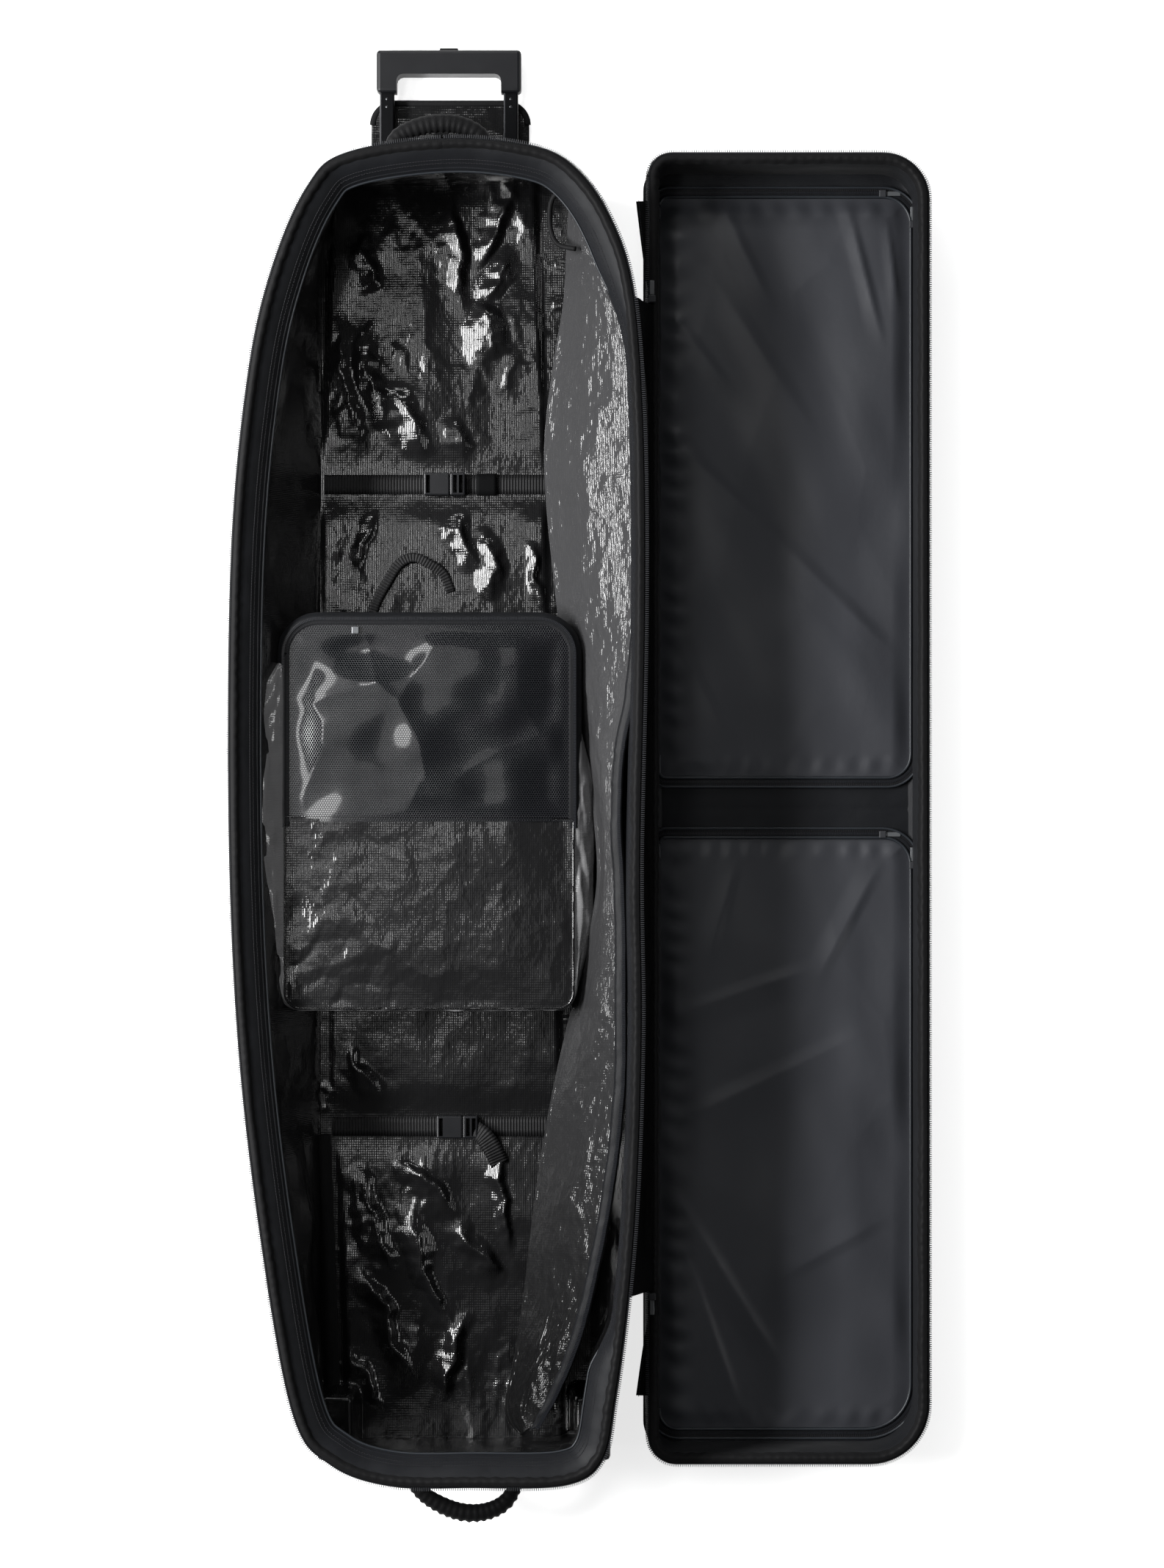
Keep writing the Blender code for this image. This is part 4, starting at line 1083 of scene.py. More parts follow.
def make_divider():
    count = 460
    zip_edge = resampled(smooth_curve(DIVIDER_ZIP_EDGE, 8), count)
    fold_edge = resampled(smooth_curve(DIVIDER_FOLD_EDGE, 8), count)
    across = np.linspace(0, 1, 44)[None, :, None]
    surface = fold_edge[:, None] * (1 - across) + zip_edge[:, None] * across
    share = across[..., 0]
    run = line_lengths(zip_edge)[:, None]
    width = np.linalg.norm(zip_edge - fold_edge, axis=1)[:, None]
    x_in = share * width
    free = np.sin(np.pi * np.clip(share * 0.93, 0, 1)) ** 0.6
    calm = 0.45 + 0.55 * smoothstep(0.02, 0.10, width)
    wave = 0.006 * np.sin(np.pi * share)
    wave = wave + 0.0050 * crumple(run, x_in + 0.5, 0.085, 201, 1, stretch=(1.5, 0.8)) * calm
    wave = wave + 0.0030 * crumple(run, x_in + 0.9, 0.026, 211, 2, stretch=(1.6, 0.7)) * calm
    wave = wave + 0.0035 * soft_noise(run, x_in, 0.10, 221, 2)
    normal = grid_normals(surface)
    normal = normal * np.sign(normal[..., 2:3])
    surface = surface + normal * (wave * free)[..., None]
    curl = []
    for turn in (3, 2, 1):
        angle = turn / 3 * math.pi * 0.8
        away = np.array([-0.004 * math.sin(angle), 0, -0.005 * (1 - math.cos(angle))])
        curl.append(surface[:, :1] + away)
    surface = np.concatenate([*curl, surface], axis=1)
    divider = cloth_grid("divider_cloth", surface, LOOKS["divider"], flip=True)
    thicken(divider, 0.0012)
    with_divider(divider, "liner_tarp", "divider_flap")
    # The strip that is modelled is narrower than the cut of the whole divider.
    strip_edge = surface[:, -1]
    make_divider_zip(strip_edge, surface[:, -2])
    loop_line = smooth_curve(
        [(-0.020, 0.733, 0.176), (-0.037, 0.719, 0.168), (-0.040, 0.690, 0.160), (-0.031, 0.666, 0.158),
         (-0.008, 0.658, 0.166)], 8,
    )
    loop = tube_mesh("divider_loop", loop_line, 0.0032, LOOKS["binding"])
    with_divider(loop, "binding")


def make_divider_zip(edge, inner):
    """The half of the divider's zip that is sewn to its free edge."""
    out = edge - inner
    out[:, 2] *= 0.3
    out /= np.linalg.norm(out, axis=1, keepdims=True)
    rows = []
    profile = ((-0.009, 0.0012), (-0.006, 0.0022), (0.000, 0.0028), (0.004, 0.0024), (0.0075, 0.0008))
    for across, rise in profile:
        rows.append(edge + out * across + np.array([0, 0, rise]))
    tape = cloth_grid("divider_zip_tape", np.array(rows).transpose(1, 0, 2), LOOKS["zip_tape"], flip=True)
    thicken(tape, 0.001)
    with_divider(tape, "zip")
    coil_path = edge + out * 0.0025 + np.array([0, 0, 0.0040])
    coil = stitches("divider_zip_coil", coil_path, LOOKS["coil"], 0.0022, (0.0013, 0.0044, 0.0018))
    with_divider(coil, "zip")
    seam_path = edge - out * 0.007 + np.array([0, 0, 0.0022])
    seam = stitches("divider_stitches", seam_path, LOOKS["thread"])
    with_divider(seam, "zip")


# ---------------------------------------------------------------- the gear pouch
POUCH_LOW, POUCH_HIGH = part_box("pouch_body")
POUCH_FRONT_Z = POUCH_HIGH.z
POUCH_LEFT, POUCH_RIGHT = -0.372, -0.011  # the front face
POUCH_BOTTOM, POUCH_TOP = -0.287, 0.199
POUCH_SEAM_Y = -0.049
POUCH_RADII = (0.042, 0.042, 0.020, 0.020)


def with_pouch(obj, slot, *nodes):
    """A piece of the pouch, which moves with the pouch."""
    place(obj, "gear_pouch", slot, *nodes)
    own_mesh(obj)
    return obj


def pouch_relief(x, y):
    """The height of the pouch's front over its edge."""
    from_side = np.minimum(x - POUCH_LEFT, POUCH_RIGHT - x)
    from_end = np.minimum(y - POUCH_BOTTOM, POUCH_TOP - y)
    return 0.007 * smoothstep(0, 0.09, from_side) * smoothstep(0, 0.09, from_end)


def rounded_grid(low, high, outline_radii, columns, rows):
    """A grid over a rounded rectangle, its outer points moved in to follow the corners."""
    xs = np.linspace(low[0], high[0], columns)
    ys = np.linspace(low[1], high[1], rows)
    x, y = np.meshgrid(xs, ys)
    corners = [
        (low[0], high[1], outline_radii[0], 1, -1),
        (high[0], high[1], outline_radii[1], -1, -1),
        (high[0], low[1], outline_radii[2], -1, 1),
        (low[0], low[1], outline_radii[3], 1, 1),
    ]
    for corner_x, corner_y, radius, sign_x, sign_y in corners:
        if not radius:
            continue
        a = np.clip(1 - (x - corner_x) * sign_x / radius, 0, None)
        b = np.clip(1 - (y - corner_y) * sign_y / radius, 0, None)
        inside = (a > 0) & (b > 0)
        square = np.maximum(a, b)
        disc = np.hypot(a, b)
        scale = np.where(inside & (disc > 0), square / np.where(disc > 0, disc, 1), 1)
        x = np.where(inside, corner_x + sign_x * radius * (1 - a * scale), x)
        y = np.where(inside, corner_y + sign_y * radius * (1 - b * scale), y)
    return x, y


def make_pouch():
    radii = (0, 0, POUCH_RADII[2], POUCH_RADII[3])
    x, y = rounded_grid((POUCH_LEFT, POUCH_BOTTOM), (POUCH_RIGHT, POUCH_SEAM_Y), radii, 150, 100)
    free = smoothstep(0, 0.012, np.minimum(np.minimum(x - POUCH_LEFT, POUCH_RIGHT - x), y - POUCH_BOTTOM))
    low_left = 1 - smoothstep(0.05, 0.20, np.hypot(x - POUCH_LEFT, (y - POUCH_BOTTOM) * 0.8))
    wave = 0.0016 * crumple(x, y, 0.060, 401, 2) * (0.6 + 3.0 * low_left)
    wave = wave + 0.0009 * crumple(x, y, 0.022, 411, 1)
    wave = wave + 0.0025 * soft_noise(x, y, 0.11, 421, 2)
    z = POUCH_FRONT_Z + pouch_relief(x, y) + wave * free
    front = plan_grid("pouch_front", x, y, z, LOOKS["pouch"])
    with_pouch(front, "liner_tarp")
    make_window()
    make_pouch_sides()
    make_pouch_zip()
    for number, offset in enumerate((-0.0020, 0.0022)):
        xs = np.linspace(POUCH_LEFT + 0.003, POUCH_RIGHT - 0.003, 60)
        ys = np.full(60, POUCH_SEAM_Y + offset)
        line = np.column_stack([xs, ys, POUCH_FRONT_Z + pouch_relief(xs, ys) + 0.0016])
        seam = stitches(f"pouch_seam_{number}", line, LOOKS["thread"])
        with_pouch(seam, "zip")
    make_pouch_loop()


def make_window():
    low = (POUCH_LEFT + 0.003, POUCH_SEAM_Y - 0.004)
    high = (POUCH_RIGHT - 0.003, POUCH_TOP - 0.003)
    x, y = rounded_grid(low, high, (0.038, 0.038, 0, 0), 170, 120)
    from_edge = np.minimum(np.minimum(x - low[0], high[0] - x), np.minimum(y - low[1], high[1] - y))
    free = smoothstep(0.008, 0.035, from_edge)
    wave = 0.0055 * soft_noise(x, y * 1.2, 0.115, 431, 2)
    wave = wave + 0.0045 * crumple(x, y, 0.10, 441, 1)
    z = POUCH_FRONT_Z + 0.0005 + pouch_relief(x, y) + wave * free
    window = plan_grid("pouch_film", x, y, z, LOOKS["window"])
    with_pouch(window, "clear_vinyl", "pouch_window")


def pouch_outline(inset=0.0):
    return rounded_rectangle(
        POUCH_LEFT + inset, POUCH_BOTTOM + inset, POUCH_RIGHT - inset, POUCH_TOP - inset,
        [r - inset for r in POUCH_RADII], 10,
    )


def make_pouch_sides():
    """The sides of the pouch, which spread towards the left wall, and its back."""
    outline = paced(pouch_outline(), 0.004)
    run = line_lengths(outline)
    rows = []
    left_side = 1 - smoothstep(POUCH_LEFT, POUCH_LEFT + 0.03, outline[:, 0])
    spread_left = left_side * np.interp(
        outline[:, 1], [-0.285, -0.26, -0.21, -0.11, 0.04, 0.12, 0.155], [0, 0.2, 0.55, 1, 1, 0.6, 0]
    )
    right_side = smoothstep(POUCH_RIGHT - 0.03, POUCH_RIGHT, outline[:, 0])
    spread_right = right_side * np.interp(outline[:, 1], [-0.27, -0.18, 0.0, 0.10], [0, 1, 1, 0])
    out = -inward_of(outline)
    reach = (0.036 * spread_left + 0.022 * spread_right + 0.004)[:, None]
    edge = np.column_stack([outline, np.full(len(outline), POUCH_FRONT_Z)])
    far = np.column_stack([outline + out * reach, POUCH_FRONT_Z - 0.016 + 0.057 * spread_left])
    back_low = [POUCH_LOW.x + 0.004, POUCH_LOW.y + 0.004]
    back_high = [POUCH_HIGH.x + 0.006, POUCH_HIGH.y - 0.004]
    back = np.clip(outline, back_low, back_high)
    back = np.column_stack([back, np.full(len(back), POUCH_LOW.z + 0.0012)])
    for share in np.linspace(0, 1, 16)[:-1]:
        rows.append(edge * (1 - share) + far * share + np.array([0, 0, 0.004]) * math.sin(math.pi * share))
    for share in np.linspace(0, 1, 16):
        rows.append(far * (1 - share) + back * share)
    points = np.array(rows)
    count = len(rows)
    depth = np.linspace(0, 0.13, count)[:, None]
    free = np.interp(np.linspace(0, 1, count), [0, 0.15, 0.45, 0.6, 1], [0, 1, 0.35, 1, 0])[:, None]
    run_grid, depth_grid = np.broadcast_arrays(run[None, :], depth)
    wave = 0.007 * crumple(run_grid, depth_grid, 0.045, 451, 2, stretch=(1.5, 0.7))
    points = points - grid_normals(points) * (wave * free)[..., None]
    sides = cloth_grid("pouch_sides", points, LOOKS["gusset"])
    with_pouch(sides, "liner_tarp", "pouch_body")
    line = np.column_stack([outline, np.full(len(outline), POUCH_FRONT_Z + 0.0006)])
    below = line[line[:, 1] < POUCH_SEAM_Y + 0.002]
    below = from_its_gap(below)
    edge = tube_mesh("pouch_edge_piping", below, 0.0016, LOOKS["tarp"], sides=8)
    with_pouch(edge, "liner_tarp")


def make_pouch_zip():
    """The zip round the top of the pouch and half way down its sides."""
    outline = paced(pouch_outline(-0.003), 0.003)
    upper = outline[outline[:, 1] > POUCH_SEAM_Y - 0.012]
    upper = from_its_gap(upper)
    inward = inward_of(upper)
    rows = []
    profile = ((-0.0075, -0.006), (-0.004, -0.0005), (0.0, 0.0018), (0.004, 0.0020), (0.0085, 0.0012))
    for across, rise in profile:
        rows.append(np.column_stack([upper + inward * across, np.full(len(upper), POUCH_FRONT_Z + rise)]))
    tape = cloth_grid("pouch_zip_tape", np.array(rows), LOOKS["zip_tape"])
    with_pouch(tape, "zip")
    line = np.column_stack([upper + inward * 0.001, np.full(len(upper), POUCH_FRONT_Z + 0.0030)])
    coil = stitches("pouch_zip_coil", line, LOOKS["coil"], 0.0020, (0.0011, 0.0034, 0.0014))
    with_pouch(coil, "zip")
    line = np.column_stack([upper + inward * 0.0062, np.full(len(upper), POUCH_FRONT_Z + 0.0022)])
    seam = stitches("pouch_zip_stitches", line, LOOKS["thread"])
    with_pouch(seam, "zip")


def make_pouch_loop():
    """A webbing loop that lies on the floor above the pouch."""
    z = FLOOR_TOP_Z + 0.006
    points = [
        (-0.270, 0.203, z), (-0.264, 0.226, z + 0.004), (-0.250, 0.252, z + 0.005),
        (-0.234, 0.276, z + 0.006), (-0.215, 0.284, z + 0.006), (-0.196, 0.276, z + 0.006),
        (-0.178, 0.263, z + 0.003), (-0.168, 0.240, z),
    ]
    loop = turned_strip("pouch_loop", smooth_curve(points, 5), 0.012, 0.0014, LOOKS["webbing"])
    with_pouch(loop, "webbing")


# ---------------------------------------------------------------- the lid
def lid_outline(inset=0.0):
    return rounded_rectangle(
        LID_LOW.x + inset, LID_LOW.y + inset, LID_HIGH.x - inset, LID_HIGH.y - inset,
        [max(r - inset, 0.006) for r in LID_RADII], 12,
    )


def lid_surface(line, profile):
    inward = inward_of(line)
    rows = []
    for across, rise in profile:
        across = np.broadcast_to(across, len(line))
        plan = line + inward * across[:, None]
        rows.append(np.column_stack([plan, LID_HIGH.z + 0.0035 + np.broadcast_to(rise, len(line))]))
    return np.array(rows)


def make_lid():
    line = paced(lid_outline(), CLOTH_STEP)
    run = line_lengths(line)
    teeth_z = np.full(len(line), LID_HIGH.z + 0.0030)
    teeth = make_teeth("lid_zip_teeth", line, teeth_z, LOOKS["tooth"])
    place(teeth, "lid", "zip", "lid_zip")
    tape = cloth_grid("lid_zip_tape", lid_surface(line, TAPE_PROFILE), LOOKS["zip_tape"])
    place(tape, "lid", "zip")
    binding = make_binding("lid_binding", line, lid_surface, 31)
    place(binding, "lid", "binding")
    make_lid_cover(line, run)
    make_zip_tabs()
    profile = []
    depth = LID_HIGH.z - POCKET_Z
    for level in np.linspace(0, 1, 16):
        ripple = 0.0018 * soft_noise(run, run * 0 + level * 0.08, 0.09, 501, 2) * math.sin(math.pi * level)
        profile.append((BINDING_WIDTH - 0.0005 + 0.003 * level + ripple, -0.004 - (depth - 0.002) * level))
    wall = cloth_grid("lid_wall_lining", lid_surface(line, profile), LOOKS["collar"])
    place(wall, "lid", "shell_fabric")
    make_pockets()


def make_zip_tabs():
    """The pointed tabs of stiff cloth at the two ends of the main zip, beside the hinge."""
    for name, tip_y, wide_y in (("upper", 0.608, 0.728), ("lower", -0.672, -0.776)):
        ys = np.linspace(tip_y, wide_y, 24)
        reach = 0.017 * np.linspace(0, 1, 24) ** 0.8
        grid = []
        for share in np.linspace(0, 1, 6):
            height = LID_HIGH.z - 0.0010 + 0.0016 * math.sin(math.pi * share)
            grid.append(np.column_stack([LID_LOW.x + 0.002 - reach * share, ys, np.full(24, height)]))
        points = np.array(grid)
        tab = cloth_grid(f"zip_tab_{name}", points, LOOKS["shell"], flip=name == "lower")
        thicken(tab, 0.0016)
        place(tab, "lid", "shell_fabric")
        seam = stitches(f"zip_tab_stitches_{name}", points[4] + np.array([0.0, 0.0, 0.0012]), LOOKS["thread"])
        place(seam, "lid", "zip")


def make_lid_cover(line, run):
    """The lid's outer cloth: its sides, and the back that it lies on."""
    rows = []
    for level in np.linspace(0, 1, 22):
        uneven = 0.002 * soft_noise(run, run * 0 + level * 0.1, 0.12, 511, 2)
        bulge = 0.003 * math.sin(math.pi * level) + uneven
        bulge = bulge * math.sin(math.pi * min(1, 0.03 + level * 0.97)) ** 0.5
        turn = 0.012 * max(0, (level - 0.86) / 0.14) ** 2
        rows.append((-(bulge) + turn + 0.0005, -0.0035 - (LID_HIGH.z - 0.0005) * level))
    points = lid_surface(line, rows)
    points[..., 2] = np.maximum(points[..., 2], 0.0006)
    faces = grid_faces(*points.shape[:2])[:, ::-1].tolist()
    base = (points.shape[0] - 1) * points.shape[1]
    faces.append([base + k for k in range(points.shape[1] - 1)])
    uv = grid_lengths(points).reshape(-1, 2)
    cover = mesh_object("lid_cover", points.reshape(-1, 3), faces, LOOKS["shell"], uv)
    place(cover, "lid", "shell_fabric", "lid_shell")
    piping_line = np.column_stack([line - inward_of(line) * 0.002, np.full(len(line), 0.016)])
    piping = tube_mesh("lid_base_piping", piping_line, 0.0022, LOOKS["binding"], sides=8, capped=False)
    place(piping, "lid", "binding")
    seam_line = np.column_stack([line - inward_of(line) * 0.0022, np.full(len(line), LID_HIGH.z - 0.012)])
    seam = stitches("lid_shell_stitches", seam_line, LOOKS["thread"])
    place(seam, "lid", "shell_fabric")


POCKET_LEFT, POCKET_RIGHT = 0.0985, 0.4215
POCKET_SPANS = {
    "upper": (0.0016, 0.7470, (0.012, 0.036, 0.030, 0.008)),
    "lower": (-0.8330, -0.0740, (0.008, 0.036, 0.058, 0.024)),
}
POCKET_FOLDS = {
    "upper": [
        ((0.18, 0.735), (0.245, 0.600), 0.030, 0.006),
        ((0.34, 0.735), (0.385, 0.560), 0.022, 0.006),
        ((0.39, 0.720), (0.405, 0.600), 0.016, 0.004),
        ((0.112, 0.440), (0.250, 0.310), 0.034, 0.006),
        ((0.250, 0.310), (0.400, 0.160), 0.038, 0.006),
        ((0.170, 0.640), (0.300, 0.440), 0.040, 0.005),
        ((0.112, 0.600), (0.190, 0.500), 0.026, 0.005),
        ((0.120, 0.180), (0.200, 0.030), 0.034, 0.004),
    ],
    "lower": [
        ((0.112, -0.520), (0.260, -0.760), 0.034, 0.006),
        ((0.130, -0.600), (0.200, -0.800), 0.024, 0.005),
        ((0.120, -0.300), (0.300, -0.240), 0.040, 0.005),
        ((0.140, -0.430), (0.350, -0.330), 0.050, 0.005),
        ((0.380, -0.110), (0.300, -0.260), 0.030, 0.005),
        ((0.200, -0.100), (0.160, -0.240), 0.030, 0.004),
        ((0.390, -0.560), (0.250, -0.640), 0.040, 0.004),
    ],
}


def make_pockets():
    for which, (low_y, high_y, radii) in POCKET_SPANS.items():
        x, y = rounded_grid((POCKET_LEFT, low_y), (POCKET_RIGHT, high_y), radii, 110, 240)
        from_side = np.minimum(x - POCKET_LEFT, POCKET_RIGHT - x)
        from_end = np.minimum(y - low_y, high_y - y)
        free = smoothstep(0, 0.025, np.minimum(from_side, from_end))
        seed = 601 if which == "upper" else 651
        wave = 0.008 * soft_noise(x * 1.1 + y * 0.5, y * 0.55 - x * 0.4, 0.16, seed, 2)
        wave = wave + 0.004 * crumple(x, y, 0.15, seed + 9, 1, stretch=(1.0, 1.4))
        for start, end, width, height in POCKET_FOLDS[which]:
            wave = wave + fold(x, y, start, end, width * 0.8, height * 0.5)
        near_left = 1 - smoothstep(0.0, 0.05, x - POCKET_LEFT)
        tucks = np.sin(y * 2 * np.pi / 0.034 + 4 * gradient_noise(y / 0.1, x * 0, seed + 3))
        wave = wave + 0.0022 * tucks * near_left * smoothstep(0, 0.006, from_side)
        near_end = 1 - smoothstep(0.0, 0.035, from_end)
        end_tucks = np.sin(x * 2 * np.pi / 0.030 + 4 * gradient_noise(x / 0.1, y * 0, seed + 4))
        wave = wave + 0.0018 * end_tucks * near_end * smoothstep(0, 0.006, from_end)
        z = POCKET_Z + 0.0005 + wave * free + 0.004 * free
        z = np.maximum(z, POCKET_Z - 0.004)
        panel = plan_grid(f"pocket_cloth_{which}", x, y, z, LOOKS["nylon"])
        place(panel, "lid", "pocket_nylon", f"pocket_{which}")
        make_pocket_zip(which, low_y, high_y, radii)
    make_pocket_surround()


def make_pocket_zip(which, low_y, high_y, radii):
    """The zip round the top, right and bottom of a pocket."""
    outline = rounded_rectangle(POCKET_LEFT, low_y, POCKET_RIGHT, high_y, radii, 10)
    line = paced(outline, 0.004)
    keep = ~((line[:, 0] < POCKET_LEFT + 0.002) & (line[:, 1] > low_y + 0.03) & (line[:, 1] < high_y - 0.03))
    line = line[keep]
    line = from_its_gap(line)
    out = -inward_of(line)
    z = POCKET_Z + 0.0008

    def follow(across, rise):
        return np.column_stack([line + out * across, np.full(len(line), z + rise)])

    rows = [follow(-0.0025, 0.0), follow(0.0, 0.0016), follow(0.004, 0.0014), follow(0.011, 0.0022)]
    tape = cloth_grid(f"pocket_zip_tape_{which}", np.array(rows), LOOKS["zip_tape"], flip=True)
    place(tape, "lid", "zip")
    welt = tube_mesh(f"pocket_welt_{which}", follow(-0.0005, 0.0022), 0.0020, LOOKS["piping"], sides=8)
    place(welt, "lid", "zip")
    outer = tube_mesh(f"pocket_outer_welt_{which}", follow(0.0112, 0.0030), 0.0016, LOOKS["piping"], sides=8)
    place(outer, "lid", "zip")
    coil_size = (0.0011, 0.0030, 0.0012)
    coil = stitches(f"pocket_coil_{which}", follow(0.0045, 0.0024), LOOKS["coil"], 0.0020, coil_size)
    place(coil, "lid", "zip")
    rib_size = (0.0009, 0.0036, 0.0006)
    ribs = stitches(f"pocket_zip_ribs_{which}", follow(0.0085, 0.0026), LOOKS["thread"], 0.0024, rib_size)
    place(ribs, "lid", "zip")


def make_pocket_surround():
    """The cloth between the pockets and round them, up to the lid's sides."""
    line = paced(lid_outline(BINDING_WIDTH + 0.0025), 0.005)
    z = POCKET_Z - 0.0005
    inner = np.clip(line, [POCKET_LEFT + 0.004, -0.829], [POCKET_RIGHT - 0.004, 0.743])
    rows = []
    for share in np.linspace(0, 1, 8):
        plan = line * (1 - share) + inner * share
        rise = 0.0015 * soft_noise(plan[:, 0], plan[:, 1], 0.06, 701, 2) * math.sin(math.pi * share)
        rows.append(np.column_stack([plan, z + 0.003 * (1 - share) + rise]))
    surround = cloth_grid("pocket_surround", np.array(rows), LOOKS["collar"])
    place(surround, "lid", "shell_fabric")
    low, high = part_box("pocket_band")
    xs = np.linspace(low.x + 0.004, high.x - 0.002, 60)
    ys = np.linspace(-0.0800, 0.0060, 24)
    x, y = np.meshgrid(xs, ys)
    rise = 0.0012 * soft_noise(x, y, 0.07, 711, 2)
    seam_y = (low.y + high.y) / 2 + 0.005
    rise = rise - 0.0012 * np.exp(-(((y - seam_y) / 0.0016) ** 2))
    band = plan_grid("pocket_band_cloth", x, y, POCKET_Z - 0.0002 + rise, LOOKS["collar"])
    place(band, "lid", "shell_fabric", "pocket_band")


# ---------------------------------------------------------------- between the tub and the lid
def make_gusset():
    """The strip of cloth along the hinge, crumpled between the tub's rim and the lid's."""
    low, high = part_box("hinge_gusset")
    ys = np.arange(low.y - 0.01, high.y + 0.012, 0.0035)
    rim = smooth_curve(RIM_POINTS, 12, closed=True)
    right = rim[(rim[:, 0] > 0.0)]
    right = right[np.argsort(right[:, 1])]
    tub_x = np.interp(ys, right[:, 1], right[:, 0])
    across = np.linspace(0, 1, 14)
    start = np.column_stack([tub_x - 0.002, ys, np.full(len(ys), 0.186)])
    end = np.column_stack([np.full(len(ys), LID_LOW.x + 0.006), ys, np.full(len(ys), LID_HIGH.z + 0.006)])
    points = start[:, None] * (1 - across)[None, :, None] + end[:, None] * across[None, :, None]
    from_end = np.minimum(ys - ys[0], ys[-1] - ys)[:, None]
    sag = 0.022 * np.sin(np.pi * across)[None, :] * smoothstep(0.0, 0.09, from_end)
    wave = 0.005 * soft_noise(ys[:, None], across[None, :] * 0.03, 0.06, 801, 3)
    run, depth = np.broadcast_arrays(ys[:, None], across[None, :] * 0.05)
    wave = wave + 0.006 * crumple(run, depth, 0.05, 811, 2)
    free = np.sin(np.pi * across)[None, :] ** 0.5
    points[..., 2] -= sag
    points[..., 0] += wave * free
    gusset = cloth_grid("gusset_cloth", points, LOOKS["shell"], flip=True)
    thicken(gusset, 0.0012)
    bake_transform(gusset)
    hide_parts("hinge_gusset")


# ---------------------------------------------------------------- handles at the ends
def padded_handle(name, path, radius, seed):
    """A padded grab handle in gathered cloth."""
    path = paced(smooth_curve(path, 8), 0.0022)
    run = line_lengths(path)
    sides = 20
    angle = np.linspace(0, 2 * np.pi, sides, endpoint=False)
    ripples = np.sin(run * 2 * np.pi / 0.0085 + 2.5 * gradient_noise(run / 0.03, run * 0, seed))
    inner = 0.5 + 0.5 * np.cos(angle)[None, :]
    ends = np.sin(np.pi * np.clip(run / run[-1], 0.04, 0.96)) ** 0.25
    radii = radius * ends[:, None] * (1 + 0.10 * ripples[:, None] * (0.35 + 0.65 * inner))
    return tube_mesh(name, path, radii, LOOKS["binding"], sides=sides, squeeze=0.8)


def make_end_pieces():
    z = (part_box("grab_handle_top")[0].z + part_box("grab_handle_top")[1].z) / 2
    top = padded_handle(
        "top_grab_padding",
        [(-0.245, 0.797, z), (-0.230, 0.814, z), (-0.198, 0.826, z), (-0.164, 0.828, z), (-0.132, 0.817, z),
         (-0.116, 0.797, z)],
        0.0118, 901,
    )
    place(top, "top_grab", "binding", "grab_handle_top")
    z = (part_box("grab_handle_bottom")[0].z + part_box("grab_handle_bottom")[1].z) / 2
    bottom = padded_handle(
        "bottom_grab_padding",
        [(-0.222, -0.880, z), (-0.198, -0.906, z), (-0.160, -0.925, z), (-0.125, -0.927, z),
         (-0.096, -0.913, z), (-0.077, -0.880, z)],
        0.0112, 911,
    )
    place(bottom, "bottom_grab", "binding", "grab_handle_bottom")
    make_cover_flap()


def make_cover_flap():
    """The tarp flap under the trolley handle, with a bound edge."""
    low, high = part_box("handle_cover_flap")
    x, y = rounded_grid((low.x, low.y - 0.004), (high.x, high.y), (0.028, 0.028, 0, 0), 100, 44)
    edge = np.minimum(np.minimum(x - low.x, high.x - x), high.y - y)
    free = smoothstep(0, 0.012, edge)
    wave = 0.0030 * (crumple(x, y, 0.048, 921, 1) + 0.2) * free
    z = low.z + 0.0006 + np.clip(wave, -0.001, 0.0016)
    flap = plan_grid("cover_flap_cloth", x, y, z, LOOKS["tarp"])
    thicken(flap, 0.0010)
    place(flap, "base", "liner_tarp", "handle_cover_flap")
    radii = (0.028, 0.028, 0.01, 0.01)
    outline = rounded_rectangle(low.x + 0.002, low.y - 0.03, high.x - 0.002, high.y - 0.001, radii, 8)
    line = outline[(outline[:, 1] > low.y)]
    start = np.argmax(np.linalg.norm(np.diff(line, axis=0), axis=1)) + 1
    line = np.roll(line, -start, axis=0) if start < len(line) and start > 1 else line
    line = paced(line, 0.003)
    path = np.column_stack([line, np.full(len(line), low.z + 0.0006)])
    bound = tube_mesh("cover_flap_binding", path, 0.0040, LOOKS["binding"], sides=10, squeeze=0.42)
    place(bound, "base", "binding")


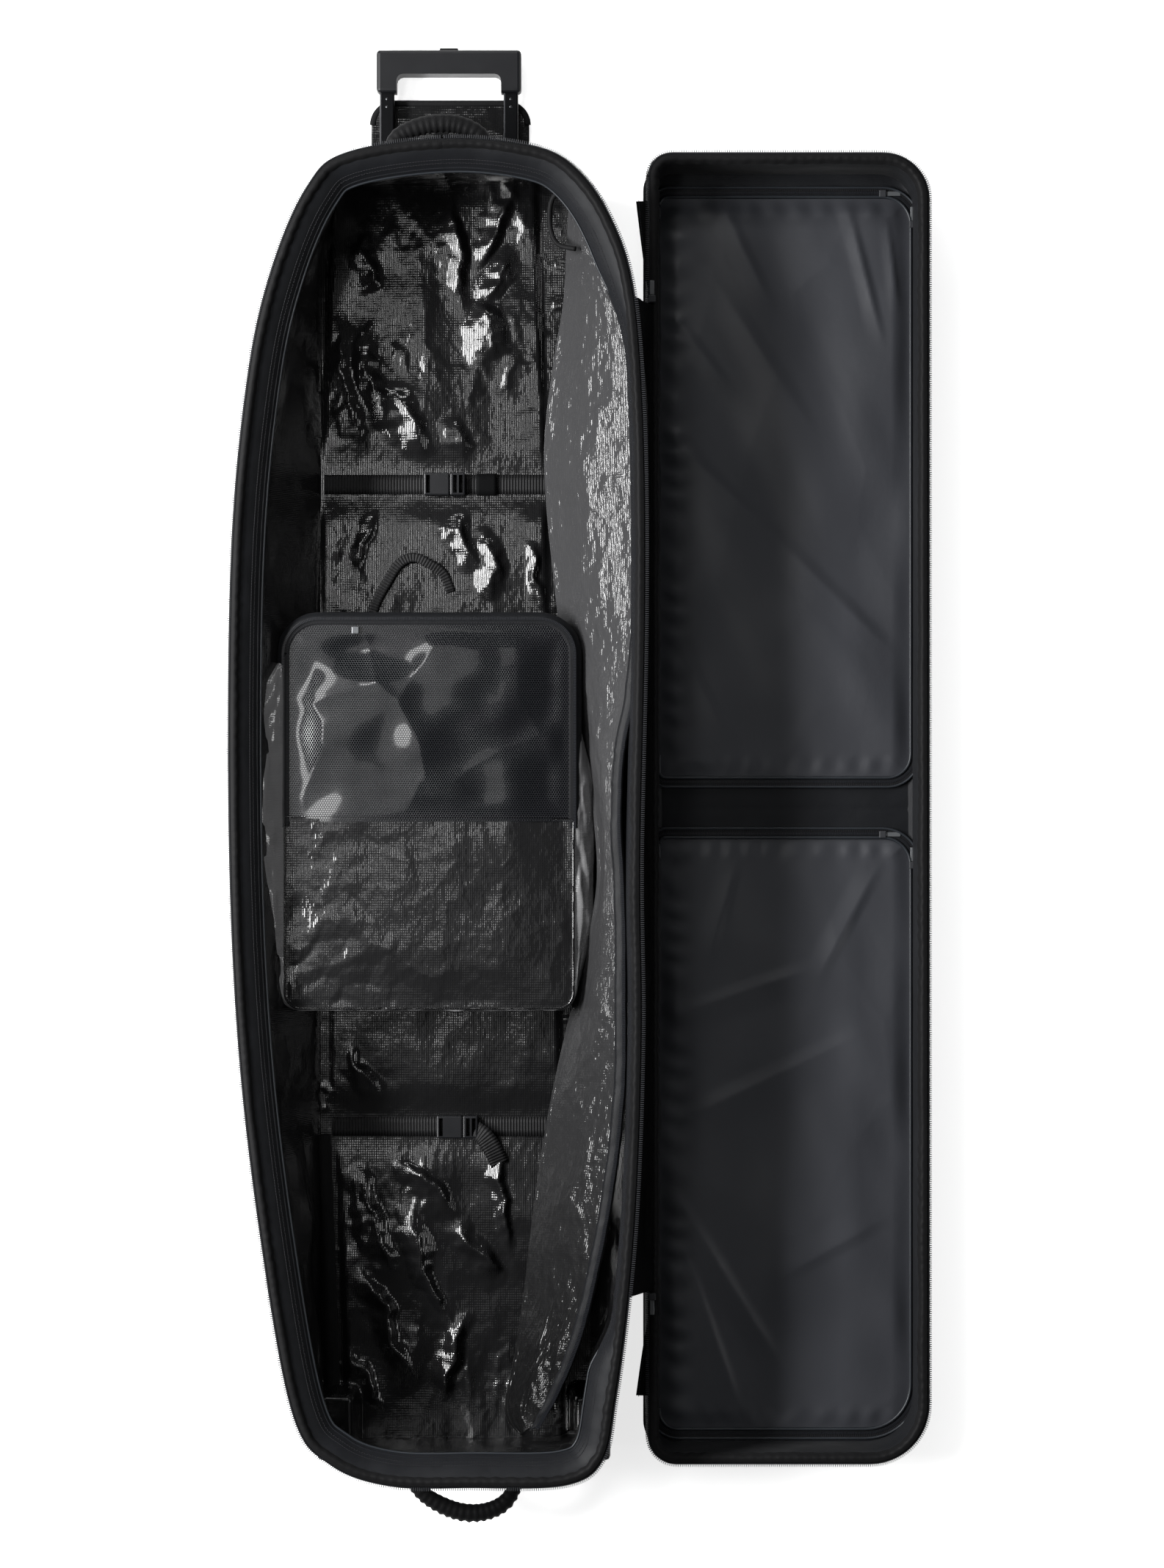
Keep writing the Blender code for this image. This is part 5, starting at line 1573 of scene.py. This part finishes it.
def make_rivets():
    grip_low, grip_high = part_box("trolley_grip")
    tubes = [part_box("top_tube_left"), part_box("top_tube_right")]
    places = []
    for low, high in tubes:
        x = (low.x + high.x) / 2
        for y in (grip_low.y - 0.0075, grip_low.y - 0.0175):
            places.append((x, y, high.z))
    for number, (x, y, z) in enumerate(places):
        rivet = dome(f"rivet_{number}", (x, y, z), 0.0022, 0.0010, LOOKS["rivet"])
        place(rivet, "trolley_handle", "steel")


def dome(name, centre, radius, height, material):
    """A low round head."""
    levels = np.linspace(0, math.pi / 2, 5)[:-1]
    angle = np.linspace(0, 2 * np.pi, 16, endpoint=False)
    rings = []
    for level in levels:
        ring = np.column_stack([np.cos(angle), np.sin(angle), np.zeros(16)]) * radius * math.cos(level)
        ring[:, 2] = height * math.sin(level) - 0.0002
        rings.append(ring)
    vertices = np.concatenate([*rings, [[0, 0, height]]]) + np.array(centre)
    faces = grid_faces(4, 16, wrap=True).tolist()
    faces += [[48 + k, 48 + (k + 1) % 16, 64] for k in range(16)]
    return mesh_object(name, vertices, faces, material)


# ---------------------------------------------------------------- the parts that stay as they are
NODE_LOOKS = {
    "back_panel": "shell",
    "stiffener_sheet": "sheet",
    "trolley_grip": "plastic",
    "release_button": "dark_plastic",
    "release_linkage": "steel",
    "handle_bezel": "dark_plastic",
    "pouch_zip_slider": "pull",
}
NODE_LOOK_ENDINGS = {
    "_tube_left": "tube",
    "_tube_right": "tube",
    "skid_rail_left": "plastic",
    "skid_rail_right": "plastic",
    "wheel_housing_left": "dark_plastic",
    "wheel_housing_right": "dark_plastic",
    "axle_left": "steel",
    "axle_right": "steel",
    "tyre_left": "tyre",
    "tyre_right": "tyre",
    "hub_left": "plastic",
    "hub_right": "plastic",
    "_socket": "plastic",
    "_plug": "plastic",
    "_slider": "tooth",
    "_pull": "pull",
}


def look_of(node):
    if node in NODE_LOOKS:
        return NODE_LOOKS[node]
    for ending, look in NODE_LOOK_ENDINGS.items():
        if node.endswith(ending):
            return look
    return "plastic"


def dress_nodes():
    """Gives each CAD node that still shows its material."""
    for name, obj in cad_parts.items():
        if obj.hide_render:
            continue
        for slot in obj.material_slots:
            slot.material = LOOKS[look_of(name)]


make_camera()
make_stage()
LOOKS = make_looks()
for half, half_rim in rim_halves().items():
    make_tub_half(half, half_rim)
make_floor()
make_straps()
make_divider()
make_pouch()
make_lid()
make_gusset()
make_end_pieces()
make_rivets()
dress_nodes()
